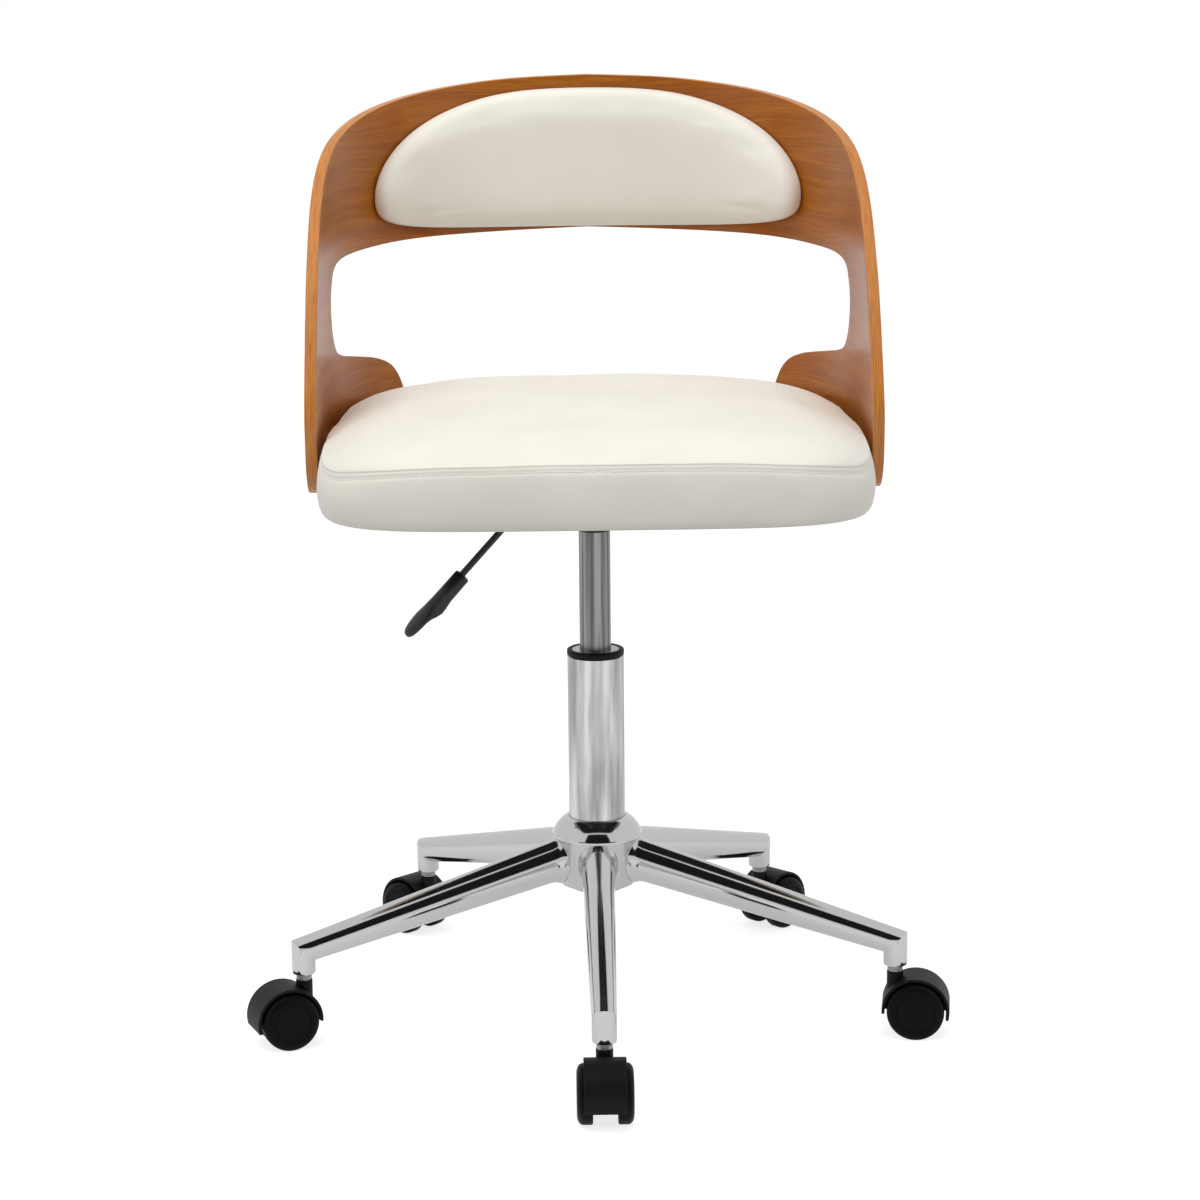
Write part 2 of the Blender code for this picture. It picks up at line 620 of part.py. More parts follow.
def build_lift(chair, materials):
    """The outer tube stands in the hub, the rod swivels in it, and the pressure tube slides on the rod."""
    inside = OUTER_TUBE_RADIUS - OUTER_TUBE_WALL
    rod_hole = ROD_RADIUS + RUNNING_GAP
    floor_top = TUBE_FLOOR_Z + TUBE_FLOOR
    outer_tube = (
        (OUTER_TUBE_RADIUS, TUBE_FOOT_Z),
        (OUTER_TUBE_RADIUS, TUBE_TOP_Z),
        (inside, TUBE_TOP_Z),
        (inside, floor_top),
        (rod_hole, floor_top),
        (rod_hole, TUBE_FLOOR_Z),
        (inside, TUBE_FLOOR_Z),
        (inside, TUBE_FOOT_Z),
    )
    add_object("outer_tube", to_mesh("outer_tube", turned(outer_tube, 28)), materials["chrome"], chair)

    guide_bore = PRESSURE_TUBE_RADIUS + RUNNING_GAP
    flange_z = TUBE_TOP_Z + GAP
    guide_bush = (
        (guide_bore, TUBE_TOP_Z - GUIDE_DEPTH),
        (inside - GAP, TUBE_TOP_Z - GUIDE_DEPTH),
        (inside - GAP, flange_z),
        (OUTER_TUBE_RADIUS, flange_z),
        (OUTER_TUBE_RADIUS, GUIDE_TOP_Z - GUIDE_CHAMFER),
        (OUTER_TUBE_RADIUS - GUIDE_CHAMFER, GUIDE_TOP_Z),
        (GUIDE_RECESS_RADIUS, GUIDE_TOP_Z),
        (GUIDE_RECESS_RADIUS, GUIDE_TOP_Z - GUIDE_RECESS),
        (guide_bore, GUIDE_TOP_Z - GUIDE_RECESS),
    )
    add_object("guide_bush", to_mesh("guide_bush", turned(guide_bush, 28)), materials["black_plastic"], chair)
    washer_z = GUIDE_TOP_Z - GUIDE_RECESS + GAP
    washer = (
        (guide_bore, washer_z),
        (GUIDE_RECESS_RADIUS - GAP, washer_z),
        (GUIDE_RECESS_RADIUS - GAP, washer_z + WASHER_THICKNESS),
        (guide_bore, washer_z + WASHER_THICKNESS),
    )
    add_object("guide_washer", to_mesh("guide_washer", turned(washer, 28)), materials["brushed_steel"], chair)
    bearing = (
        (rod_hole, BEARING_Z),
        (BEARING_RADIUS, BEARING_Z),
        (BEARING_RADIUS, BEARING_Z + BEARING_HEIGHT),
        (rod_hole, BEARING_Z + BEARING_HEIGHT),
    )
    add_object("thrust_bearing", to_mesh("thrust_bearing", turned(bearing, 20)), materials["zinc"], chair)

    swivel = add_axis("seat_swivel", chair)
    clip_z = TUBE_FLOOR_Z - GAP - CLIP_HEIGHT
    clip = (
        (rod_hole, clip_z),
        (CLIP_RADIUS, clip_z),
        (CLIP_RADIUS, clip_z + CLIP_HEIGHT),
        (rod_hole, clip_z + CLIP_HEIGHT),
    )
    add_object("retaining_clip", to_mesh("retaining_clip", turned(clip, 20)), materials["zinc"], swivel)
    shoulder_z = BEARING_Z + BEARING_HEIGHT + GAP
    piston_z = PRESSURE_FOOT_Z + TUBE_END_PLATE + GAP
    tube_inside = PRESSURE_TUBE_RADIUS - PRESSURE_TUBE_WALL
    piston_radius = tube_inside - PISTON_CLEARANCE
    rod = (
        (0, clip_z - ROD_TAIL),
        (ROD_RADIUS, clip_z - ROD_TAIL),
        (ROD_RADIUS, shoulder_z),
        (SHOULDER_RADIUS, shoulder_z),
        (SHOULDER_RADIUS, shoulder_z + SHOULDER_HEIGHT),
        (ROD_RADIUS, shoulder_z + SHOULDER_HEIGHT),
        (ROD_RADIUS, piston_z),
        (piston_radius, piston_z),
        (piston_radius, piston_z + PISTON_HEIGHT),
        (0, piston_z + PISTON_HEIGHT),
    )
    add_object("piston_rod", to_mesh("piston_rod", turned(rod, 16, closed=False)), materials["zinc"], swivel)

    seat = add_axis("seat_height", swivel)
    button_hole = BUTTON_RADIUS + RUNNING_GAP
    pressure_tube = (
        (rod_hole, PRESSURE_FOOT_Z),
        (PRESSURE_TUBE_RADIUS, PRESSURE_FOOT_Z),
        (PRESSURE_TUBE_RADIUS, CUP_Z - GAP),
        (TUBE_NECK_RADIUS, CUP_Z - GAP),
        (TUBE_NECK_RADIUS, PRESSURE_TOP_Z),
        (button_hole, PRESSURE_TOP_Z),
        (button_hole, PRESSURE_TOP_Z - TUBE_TOP_PLATE),
        (tube_inside, PRESSURE_TOP_Z - TUBE_TOP_PLATE),
        (tube_inside, PRESSURE_FOOT_Z + TUBE_END_PLATE),
        (rod_hole, PRESSURE_FOOT_Z + TUBE_END_PLATE),
    )
    tube = to_mesh("pressure_tube", turned(pressure_tube, 24))
    add_object("pressure_tube", tube, materials["brushed_steel"], seat)
    press = add_axis("valve_press", seat)
    flange_top = PRESSURE_TOP_Z - TUBE_TOP_PLATE - GAP
    button = (
        (0, flange_top - BUTTON_FLANGE_HEIGHT),
        (BUTTON_RADIUS + BUTTON_FLANGE, flange_top - BUTTON_FLANGE_HEIGHT),
        (BUTTON_RADIUS + BUTTON_FLANGE, flange_top),
        (BUTTON_RADIUS, flange_top),
        (BUTTON_RADIUS, PRESSURE_TOP_Z + BUTTON_RISE),
        (0, PRESSURE_TOP_Z + BUTTON_RISE),
    )
    mesh = to_mesh("valve_button", turned(button, 16, closed=False))
    add_object("valve_button", mesh, materials["zinc"], press)
    return seat


# Mechanism


def rounded_plate(half_x, half_y, corner, low, high):
    """A flat plate with rounded corners, about the Z axis."""
    outline = []
    for quadrant, (sx, sy) in enumerate(((1, 1), (-1, 1), (-1, -1), (1, -1))):
        for k in range(CORNER_STEPS + 1):
            angle = math.radians(90 * (quadrant + k / CORNER_STEPS))
            x = sx * (half_x - corner) + corner * math.cos(angle)
            y = sy * (half_y - corner) + corner * math.sin(angle)
            outline.append((x, y))
    return lofted([[Vector((x, y, z)) for x, y in outline] for z in (low, high)])


def screw_places():
    x, y = PLATE_HALF_LENGTH - SCREW_INSET, PLATE_HALF_WIDTH - SCREW_INSET
    return [(x, y), (-x, y), (-x, -y), (x, -y)]


def build_mechanism(seat, materials):
    cup = (
        (CUP_BORE, CUP_Z),
        (CUP_BORE + CUP_MOUTH_WALL, CUP_Z),
        (CUP_BORE + CUP_MOUTH_WALL, CUP_Z + CUP_MOUTH),
        (CUP_RADIUS, CUP_Z + CUP_SKIRT / 2),
        (CUP_RADIUS, HOUSING_Z + HOUSING_WALL + GAP),
        (CUP_RADIUS + CUP_FLANGE, HOUSING_Z + HOUSING_WALL + GAP),
        (CUP_RADIUS + CUP_FLANGE, HOUSING_Z + HOUSING_WALL + GAP + CUP_FLANGE_HEIGHT),
        (CUP_RADIUS, HOUSING_Z + HOUSING_WALL + GAP + CUP_FLANGE_HEIGHT),
        (CUP_RADIUS, HOUSING_Z + CUP_RISE),
        (CUP_BORE, HOUSING_Z + CUP_RISE),
    )
    add_object("taper_cup", to_mesh("taper_cup", turned(cup, 24)), materials["black_steel"], seat)

    outer = rounded_plate(
        HOUSING_HALF_LENGTH, HOUSING_HALF_WIDTH, 2 * HOUSING_WALL, HOUSING_Z, HOUSING_Z + HOUSING_HEIGHT
    )
    outer_mesh = to_mesh("mechanism_housing", outer)
    housing = add_object("mechanism_housing", outer_mesh, materials["black_steel"], seat)
    inner = rounded_plate(
        HOUSING_HALF_LENGTH - HOUSING_WALL,
        HOUSING_HALF_WIDTH - HOUSING_WALL,
        HOUSING_WALL,
        HOUSING_Z + HOUSING_WALL,
        HOUSING_Z + HOUSING_HEIGHT + HOUSING_WALL,
    )
    combine(housing, add_tool("housing_inside", to_mesh("housing_inside", inner), seat), "DIFFERENCE")
    holes = cylinders(
        "housing_holes",
        [
            ((0, 0, HOUSING_Z - HOUSING_WALL), (0, 0, HOUSING_Z + 2 * HOUSING_WALL), CUP_RADIUS + GAP),
            (
                (LEVER_PIVOT_X - HOUSING_WALL, 0, LEVER_Z),
                (LEVER_PIVOT_X + HOUSING_WALL, 0, LEVER_Z),
                BUSH_RADIUS + GAP,
            ),
        ],
        sides=32,
    )
    combine(housing, add_tool("housing_holes", holes, seat), "DIFFERENCE")

    bush_half = HOUSING_WALL / 2 + GAP
    bush_profile = (
        (BUSH_BORE, -bush_half),
        (BUSH_RADIUS, -bush_half),
        (BUSH_RADIUS, bush_half),
        (BUSH_RADIUS + BUSH_FLANGE, bush_half),
        (BUSH_RADIUS + BUSH_FLANGE, bush_half + BUSH_FLANGE_THICKNESS),
        (BUSH_BORE, bush_half + BUSH_FLANGE_THICKNESS),
    )
    bush_bm = turned(bush_profile, 16)
    bmesh.ops.rotate(bush_bm, verts=bush_bm.verts, matrix=Matrix.Rotation(-math.pi / 2, 3, "Y"))
    bush = add_object("lever_bush", to_mesh("lever_bush", bush_bm), materials["black_plastic"], seat)
    bush.location = (LEVER_PIVOT_X, 0, LEVER_Z)

    plate_bm = rounded_plate(
        PLATE_HALF_LENGTH, PLATE_HALF_WIDTH, PLATE_CORNER, PLATE_Z, PLATE_Z + PLATE_THICKNESS
    )
    plate_mesh = to_mesh("mechanism_plate", plate_bm)
    plate = add_object("mechanism_plate", plate_mesh, materials["black_steel"], seat)
    screw_top = SEAT_Z + SCREW_IN_BOARD
    drilled = [
        ((x, y, PLATE_Z - PLATE_THICKNESS), (x, y, screw_top + GAP), SCREW_RADIUS + GAP)
        for x, y in screw_places()
    ]
    screw_holes = add_tool("screw_holes", cylinders("screw_holes", drilled), seat)
    combine(plate, screw_holes, "DIFFERENCE")
    head_top = PLATE_Z - GAP
    screw_profile = (
        (0, head_top - SCREW_HEAD_HEIGHT),
        (SCREW_FACE_RADIUS, head_top - SCREW_HEAD_HEIGHT),
        (SCREW_HEAD_RADIUS, head_top - SCREW_HEAD_HEIGHT / 2),
        (SCREW_HEAD_RADIUS, head_top),
        (SCREW_RADIUS, head_top),
        (SCREW_RADIUS, screw_top),
        (0, screw_top),
    )
    screw = to_mesh("plate_screw", turned(screw_profile, 10, closed=False))
    for number, (x, y) in enumerate(screw_places(), start=1):
        add_object(f"plate_screw_{number}", screw, materials["zinc"], seat).location = (x, y, 0)
    return screw_holes


def lever_route():
    """The rod's centre line from over the button to inside the handle, with the pivot at the origin."""
    start = Vector((LEVER_PAST_BUTTON - LEVER_PIVOT_X, 0, 0))
    bend = Vector((-LEVER_BEND_START, 0, 0))
    points = [start, bend / 2]
    for k in range(LEVER_BEND_STEPS + 1):
        angle = LEVER_SLOPE * k / LEVER_BEND_STEPS
        points.append(
            bend + LEVER_BEND_RADIUS * Vector((-math.sin(angle), 0, math.cos(angle) - 1))
        )
    points.append(points[-1] + (LEVER_REACH + HANDLE_BORE - GAP) * lever_direction())
    return points


def lever_direction():
    return Vector((-math.cos(LEVER_SLOPE), 0, -math.sin(LEVER_SLOPE)))


def handle_mesh():
    """A round grip that thins into a flat paddle, along +X with its mouth at the origin."""
    # Each section: distance along, offset up, half thickness, half width
    sections = [(0, 0, HANDLE_RADIUS, HANDLE_RADIUS), (HANDLE_GRIP_LENGTH, 0, HANDLE_RADIUS, HANDLE_RADIUS)]
    for along, flat, full in PADDLE_SECTIONS:
        thick = between(HANDLE_RADIUS, PADDLE_HALF_THICKNESS, flat) * math.sqrt(full)
        wide = between(HANDLE_RADIUS, PADDLE_HALF_WIDTH, flat) * full
        distance = between(HANDLE_GRIP_LENGTH, HANDLE_LENGTH, along)
        sections.append((distance, PADDLE_OFFSET * flat, thick, wide))
    turns = [math.tau * i / HANDLE_SIDES for i in range(HANDLE_SIDES)]
    rings = [
        [Vector((along, wide * math.cos(turn), offset + thick * math.sin(turn))) for turn in turns]
        for along, offset, thick, wide in sections
    ]
    return to_mesh("lever_handle", lofted(rings), smooth_angle=50)


def build_lever(seat, materials):
    pivot = add_axis("lever_pivot", seat, (LEVER_PIVOT_X, 0, LEVER_Z))
    route = lever_route()
    curve = bpy.data.curves.new("lever_rod", "CURVE")
    curve.dimensions = "3D"
    curve.bevel_depth = LEVER_RADIUS
    curve.bevel_resolution = 2
    curve.use_fill_caps = True
    spline = curve.splines.new("POLY")
    spline.points.add(len(route) - 1)
    for point, place in zip(spline.points, route):
        point.co = (*place, 1)
    curve.materials.append(materials["black_steel"])
    rod = bpy.data.objects.new("lever_rod", curve)
    bpy.context.scene.collection.objects.link(rod)
    rod.parent = pivot

    handle = add_object("lever_handle", handle_mesh(), materials["black_plastic"], pivot)
    handle.location = route[-1] - (HANDLE_BORE - GAP) * lever_direction()
    # Its own +X runs down the rod, and its own +Z faces up and out
    handle.rotation_euler = (0, LEVER_SLOPE, math.pi)
    bore = cylinders("handle_bore", [((-HANDLE_RADIUS, 0, 0), (HANDLE_BORE, 0, 0), LEVER_RADIUS + GAP)])
    tool = add_tool("handle_bore", bore, handle)
    combine(handle, tool, "DIFFERENCE")


# Seat


def seat_ring(inset, height, shrink=1.0):
    """A ring of the seat's outline at a height over the seat's underside."""
    ring = []
    for i in range(SEAT_POINTS):
        turn = math.tau * (i + 0.5) / SEAT_POINTS
        front = math.sin(turn) < 0
        power = 2 / (SEAT_FRONT_SQUARENESS if front else SEAT_BACK_SQUARENESS)
        depth = (SEAT_FRONT if front else SEAT_BACK) - inset
        y = depth * signed_power(math.sin(turn), power)
        x = (SEAT_HALF_WIDTH - inset - SEAT_TAPER * y) * signed_power(math.cos(turn), power)
        ring.append(Vector((x * shrink, y * shrink, SEAT_Z + height)))
    return ring


def build_seat(seat, materials, screw_holes):
    board_rings = [seat_ring(BOARD_INSET, rise) for rise in (0, BOARD_THICKNESS)]
    board = add_object("seat_board", to_mesh("seat_board", lofted(board_rings)), materials["plywood"], seat)
    combine(board, screw_holes, "DIFFERENCE")
    cover_low = DUST_COVER_Z - SEAT_Z
    cover_rings = [seat_ring(DUST_COVER_INSET, cover_low + rise) for rise in (0, DUST_COVER_THICKNESS)]
    cover_mesh = to_mesh("dust_cover", lofted(cover_rings))
    cover = add_object("dust_cover", cover_mesh, materials["dust_cover"], seat)
    combine(cover, screw_holes, "DIFFERENCE")

    pocket = BOARD_INSET - GAP
    rings = [seat_ring(pocket, BOARD_THICKNESS + GAP), seat_ring(pocket, 0)]
    rings += [seat_ring(inset * MM, BOXING_HEIGHT * rise) for inset, rise in BOXING_SECTIONS]
    for inset, rise in CUSHION_ROLL_SECTIONS:
        rings.append(seat_ring(inset * MM, BOXING_HEIGHT + CUSHION_CROWN * rise))
    for shrink, rise in CUSHION_DOME_SECTIONS:
        rings.append(seat_ring(inset * MM, BOXING_HEIGHT + CUSHION_CROWN * rise, shrink))
    cushion_mesh = to_mesh("seat_cushion", lofted(rings))
    cushion = add_object("seat_cushion", cushion_mesh, materials["cream_vinyl"], seat)
    return board, cushion


# Back


def plan_curve():
    """Points of the shell's outer face from the back's middle to its side, as (distance along, x, y)."""
    table = []
    along = 0.0
    last = None
    for k in range(PLAN_SAMPLES + 1):
        angle = math.pi / 2 * k / PLAN_SAMPLES
        x = SHELL_HALF_WIDTH * math.sin(angle) ** (2 / SHELL_SQUARENESS)
        y = SHELL_BACK * max(math.cos(angle), 0.0) ** (2 / SHELL_SQUARENESS)
        point = Vector((x, y))
        if last is not None:
            along += (point - last).length
        table.append((along, point))
        last = point
    return table


def shell_point(table, along, height, depth):
    """A point of the shell: along its plan curve, over the seat's underside, and in from its outer face."""
    side = math.copysign(1, along)
    along = abs(along)
    total = table[-1][0]
    if along >= total:
        point = Vector((SHELL_HALF_WIDTH, total - along))
        outward = Vector((1, 0))
    else:
        index = next(k for k in range(1, len(table)) if table[k][0] >= along)
        (low, start), (high, end) = table[index - 1], table[index]
        point = start.lerp(end, (along - low) / (high - low))
        slope = (end - start).normalized()
        outward = Vector((-slope.y, slope.x))
    point = point - depth * outward
    return Vector((side * point.x, point.y, SEAT_Z + height))


def smooth_row(points, steps):
    """A Catmull-Rom curve through the points, with its ends level with them."""
    rows = [points[0], *points, points[-1]]
    result = []
    for a, b, c, d in zip(rows, rows[1:], rows[2:], rows[3:]):
        for k in range(steps):
            t = k / steps
            bend = 2 * a - 5 * b + 4 * c - d
            twist = 3 * b - a - 3 * c + d
            result.append(0.5 * (2 * b + (c - a) * t + bend * t**2 + twist * t**3))
    result.append(points[-1])
    return result


def slab(outer, inner):
    """A closed body between two grids of points with the same rows and columns."""
    bm = bmesh.new()
    faces = [[[bm.verts.new(point) for point in row] for row in grid] for grid in (outer, inner)]
    rows, columns = len(outer), len(outer[0])
    for grid in faces:
        for i in range(rows - 1):
            for j in range(columns - 1):
                bm.faces.new((grid[i][j], grid[i + 1][j], grid[i + 1][j + 1], grid[i][j + 1]))
    rim = [(i, 0) for i in range(rows)] + [(rows - 1, j) for j in range(1, columns)]
    rim += [(i, columns - 1) for i in range(rows - 2, -1, -1)] + [(0, j) for j in range(columns - 2, 0, -1)]
    for (i, j), (k, m) in zip(rim, rim[1:] + rim[:1]):
        bm.faces.new((faces[0][i][j], faces[0][k][m], faces[1][k][m], faces[1][i][j]))
    return bm


def shell_bm(table):
    outer_edge = smooth_row([Vector(pair[0]) * MM for pair in SHELL_EDGES], SHELL_STEPS)
    inner_edge = smooth_row([Vector(pair[1]) * MM for pair in SHELL_EDGES], SHELL_STEPS)
    half = list(zip(outer_edge, inner_edge))
    mirrored = [(Vector((-a.x, a.y)), Vector((-b.x, b.y))) for a, b in half[:0:-1]]
    grids = []
    for depth in (0, PLY):
        grid = []
        for high, low in mirrored + half:
            row = [high.lerp(low, k / SHELL_ROWS) for k in range(SHELL_ROWS + 1)]
            grid.append([shell_point(table, p.x, p.y, depth) for p in row])
        grids.append(grid)
    return slab(*grids)


def pad_ring(table, inset, depth, shrink=1.0):
    """A ring of the pad's outline, laid on the shell's inner face and lifted off it by depth."""
    ring = []
    centre = PAD_LEVEL + (PAD_ABOVE - PAD_BELOW) / 2
    for i in range(PAD_POINTS):
        turn = math.tau * (i + 0.5) / PAD_POINTS
        above = math.sin(turn) > 0
        power = 2 / (PAD_SQUARENESS_ABOVE if above else PAD_SQUARENESS_BELOW)
        reach = (PAD_ABOVE if above else PAD_BELOW) - inset
        along = (PAD_HALF_LENGTH - inset) * signed_power(math.cos(turn), power)
        height = PAD_LEVEL + reach * signed_power(math.sin(turn), power)
        ring.append(shell_point(table, along * shrink, between(centre, height, shrink), PLY + depth))
    return ring


def build_back(seat, materials, board, cushion):
    table = plan_curve()
    shell = add_object("back_shell", to_mesh("back_shell", shell_bm(table)), materials["walnut"], seat)

    rings = [pad_ring(table, PAD_BACK_INSET, PAD_GAP, shrink) for shrink in PAD_BACK_SHARES]
    rings += [pad_ring(table, PAD_BACK_INSET, PAD_GAP)]
    rings += [pad_ring(table, inset * MM, PAD_THICKNESS * lift) for inset, lift in PAD_RIM_SECTIONS]
    crown_inset = PAD_RIM_SECTIONS[-1][0] * MM
    for shrink, lift in PAD_CROWN_SECTIONS:
        rings.append(pad_ring(table, crown_inset, PAD_THICKNESS * lift, shrink))
    add_object("back_pad", to_mesh("back_pad", lofted(rings)), materials["cream_vinyl"], seat)

    holes = []
    for number, (side, line) in enumerate([(s, y) for s in (1, -1) for y in BOLT_LINES], start=1):
        inner_face = shell_inner_x(table, line)
        board_edge = SEAT_HALF_WIDTH - BOARD_INSET - SEAT_TAPER * line
        start = Vector((side * (board_edge - BOLT_IN_BOARD), line, SEAT_Z + BOLT_LEVEL))
        end = Vector((side * (inner_face + BOLT_IN_SHELL), line, SEAT_Z + BOLT_LEVEL))
        clear = Vector((side * GAP, 0, 0))
        bolt = cylinders("shell_bolt", [(start, end, BOLT_RADIUS)])
        add_object(f"shell_bolt_{number}", bolt, materials["zinc"], seat)
        holes.append((start - clear, end + clear, BOLT_RADIUS + GAP))
    bolt_holes = add_tool("bolt_holes", cylinders("bolt_holes", holes), seat)
    for piece in (shell, board, cushion):
        combine(piece, bolt_holes, "DIFFERENCE")


def shell_inner_x(table, y):
    """Half width between the shell's inner faces on a line across the seat."""
    if y <= 0:
        return SHELL_HALF_WIDTH - PLY
    reach = next(point.x for _, point in table if point.y <= y)
    return reach - PLY


def main():
    clear_scene()
    materials = {
        "chrome": make_material("chrome", (0.75, 0.75, 0.77), 0.08, 1.0),
        "brushed_steel": make_material("brushed_steel", (0.42, 0.42, 0.42), 0.35, 1.0),
        "zinc": make_material("zinc", (0.6, 0.6, 0.58), 0.35, 1.0),
        "black_steel": make_material("black_steel", (0.02, 0.02, 0.02), 0.45, 0.4),
        "black_plastic": make_material("black_plastic", (0.025, 0.025, 0.025), 0.45),
        "wheel_plastic": make_material("wheel_plastic", (0.02, 0.02, 0.02), 0.4),
        "cream_vinyl": make_material("cream_vinyl", (0.82, 0.79, 0.71), 0.5),
        "walnut": make_material("walnut", (0.35, 0.13, 0.04), 0.35),
        "plywood": make_material("plywood", (0.6, 0.42, 0.24), 0.7),
        "dust_cover": make_material("dust_cover", (0.03, 0.03, 0.03), 0.95),
    }
    chair = add_axis("chair", None, (0, COLUMN_Y, 0))
    build_casters(chair, materials)
    build_base(chair, materials)
    seat = build_lift(chair, materials)
    screw_holes = build_mechanism(seat, materials)
    build_lever(seat, materials)
    board, cushion = build_seat(seat, materials, screw_holes)
    build_back(seat, materials, board, cushion)


main()
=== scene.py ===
import bisect
import math

import bmesh
import bpy
from mathutils import Matrix, Vector, noise
from mathutils.bvhtree import BVHTree


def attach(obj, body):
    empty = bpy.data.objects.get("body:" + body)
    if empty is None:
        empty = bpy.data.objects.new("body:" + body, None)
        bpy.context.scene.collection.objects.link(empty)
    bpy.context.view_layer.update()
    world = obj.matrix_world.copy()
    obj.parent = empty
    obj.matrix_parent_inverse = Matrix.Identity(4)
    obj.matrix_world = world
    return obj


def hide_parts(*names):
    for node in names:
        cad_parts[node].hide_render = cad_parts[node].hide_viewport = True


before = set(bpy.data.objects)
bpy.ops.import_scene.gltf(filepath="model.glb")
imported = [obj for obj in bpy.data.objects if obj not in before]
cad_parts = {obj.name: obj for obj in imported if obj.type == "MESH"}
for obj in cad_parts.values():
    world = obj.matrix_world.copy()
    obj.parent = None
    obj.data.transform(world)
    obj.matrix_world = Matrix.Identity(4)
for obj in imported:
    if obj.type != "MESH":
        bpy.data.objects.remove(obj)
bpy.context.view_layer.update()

# Casters
# Five twin-wheel furniture casters, moulded in black nylon. Each hood swivels on a zinc-plated stem that is
# pushed into its leg's socket, and carries two wheels on a steel axle, one on each side of its web.

MM = 0.001
GAP = 0.3 * MM
COLUMN_Y = 26.196 * MM
LEG_REACH = 271 * MM
AXLE_Z = 24.69 * MM
CASTER_TRAIL = 18.3 * MM
WHEEL_RADIUS = 25 * MM
WHEEL_INNER_FACE = 10.3 * MM
WHEEL_OUTER_FACE = 23.4 * MM
HOOD_RADIUS = 29.5 * MM
HOOD_WALL = 2.6 * MM
HOOD_HALF_WIDTH = 17.5 * MM
HOOD_START, HOOD_SWEEP = math.radians(-5), math.radians(200)
WEB_THICKNESS = 6 * MM
BOSS_RADIUS = 7.2 * MM
BOSS_DEPTH = 22 * MM
BOSS_TOP_Z = 56.89 * MM
STEM_RADIUS = 5.5 * MM
COLLAR_RADIUS = 6.3 * MM
COLLAR_HEIGHT = 4.8 * MM
RIB_RADIUS = 6.8 * MM
PLACES = (
    ("front", 0, 0),
    ("left_front", 72, 82.5),
    ("left_rear", 144, 135),
    ("right_rear", -144, -135),
    ("right_front", -72, -68),
)


def linear(code):
    """A colour written as six hex digits in sRGB, as the shader's linear values."""
    values = [int(code[i : i + 2], 16) / 255 for i in (0, 2, 4)]
    return (*(v / 12.92 if v <= 0.04045 else ((v + 0.055) / 1.055) ** 2.4 for v in values), 1)


def finish_of(name, **sockets):
    """A new material with its own Principled shader, whose sockets are given by name."""
    material = bpy.data.materials.new(name)
    material.use_nodes = True
    shader = material.node_tree.nodes["Principled BSDF"]
    for socket, value in sockets.items():
        shader.inputs[socket.replace("_", " ").title().replace("Ior", "IOR")].default_value = value
    return material, shader


def add_node(material, kind, inputs, **settings):
    """One shader node with its settings, and its inputs set or linked."""
    made = material.node_tree.nodes.new("ShaderNode" + kind)
    for key, value in settings.items():
        setattr(made, key, value)
    for key, value in inputs.items():
        if isinstance(value, bpy.types.NodeSocket):
            material.node_tree.links.new(value, made.inputs[key])
        else:
            made.inputs[key].default_value = value
    return made


def connect(material, output, socket):
    material.node_tree.links.new(output, socket)


# Glass-filled nylon from a fine spark-eroded mould: near black, with a soft grey sheen where light grazes it
moulded_nylon, shader = finish_of("moulded_nylon", base_color=linear("101010"), roughness=0.5, ior=1.5)
shader.inputs["Specular IOR Level"].default_value = 0.17
place = add_node(moulded_nylon, "TexCoord", {}).outputs["Object"]
# The mould's grain is 0.1 mm, drawn at 0.5 mm so that it shows
grain = add_node(moulded_nylon, "TexNoise", {"Vector": place, "Scale": 2000, "Detail": 2})
rough = add_node(moulded_nylon, "MapRange", {"Value": grain.outputs[0], "To Min": 0.44, "To Max": 0.56})
connect(moulded_nylon, rough.outputs[0], shader.inputs["Roughness"])
bump = add_node(moulded_nylon, "Bump", {"Height": grain.outputs[0], "Strength": 0.25, "Distance": 0.05 * MM})
connect(moulded_nylon, bump.outputs[0], shader.inputs["Normal"])

# Harder nylon for the treads and discs, darker than the hoods, dusty with scuffs along the tread
wheel_nylon, shader = finish_of("wheel_nylon", base_color=linear("0A0A0A"), roughness=0.42, ior=1.5)
shader.inputs["Specular IOR Level"].default_value = 0.1
place = add_node(wheel_nylon, "TexCoord", {}).outputs["Object"]
scuff = add_node(wheel_nylon, "TexNoise", {"Vector": place, "Scale": 160, "Detail": 6, "Roughness": 0.7})
rough = add_node(wheel_nylon, "MapRange", {"Value": scuff.outputs[0], "To Min": 0.34, "To Max": 0.55})
connect(wheel_nylon, rough.outputs[0], shader.inputs["Roughness"])
bump = add_node(wheel_nylon, "Bump", {"Height": scuff.outputs[0], "Strength": 0.1, "Distance": 0.1 * MM})
connect(wheel_nylon, bump.outputs[0], shader.inputs["Normal"])

# Bright zinc plating on turned steel: pale grey metal with faint turning marks round the axis
zinc_plate, shader = finish_of("zinc_plate", base_color=linear("B4B4AF"), metallic=1.0, roughness=0.3)
place = add_node(zinc_plate, "TexCoord", {}).outputs["Object"]
rings = add_node(zinc_plate, "Mapping", {"Vector": place, "Scale": (60, 60, 2500)})
marks = add_node(zinc_plate, "TexNoise", {"Vector": rings.outputs[0], "Scale": 1, "Detail": 2})
rough = add_node(zinc_plate, "MapRange", {"Value": marks.outputs[0], "To Min": 0.22, "To Max": 0.42})
connect(zinc_plate, rough.outputs[0], shader.inputs["Roughness"])


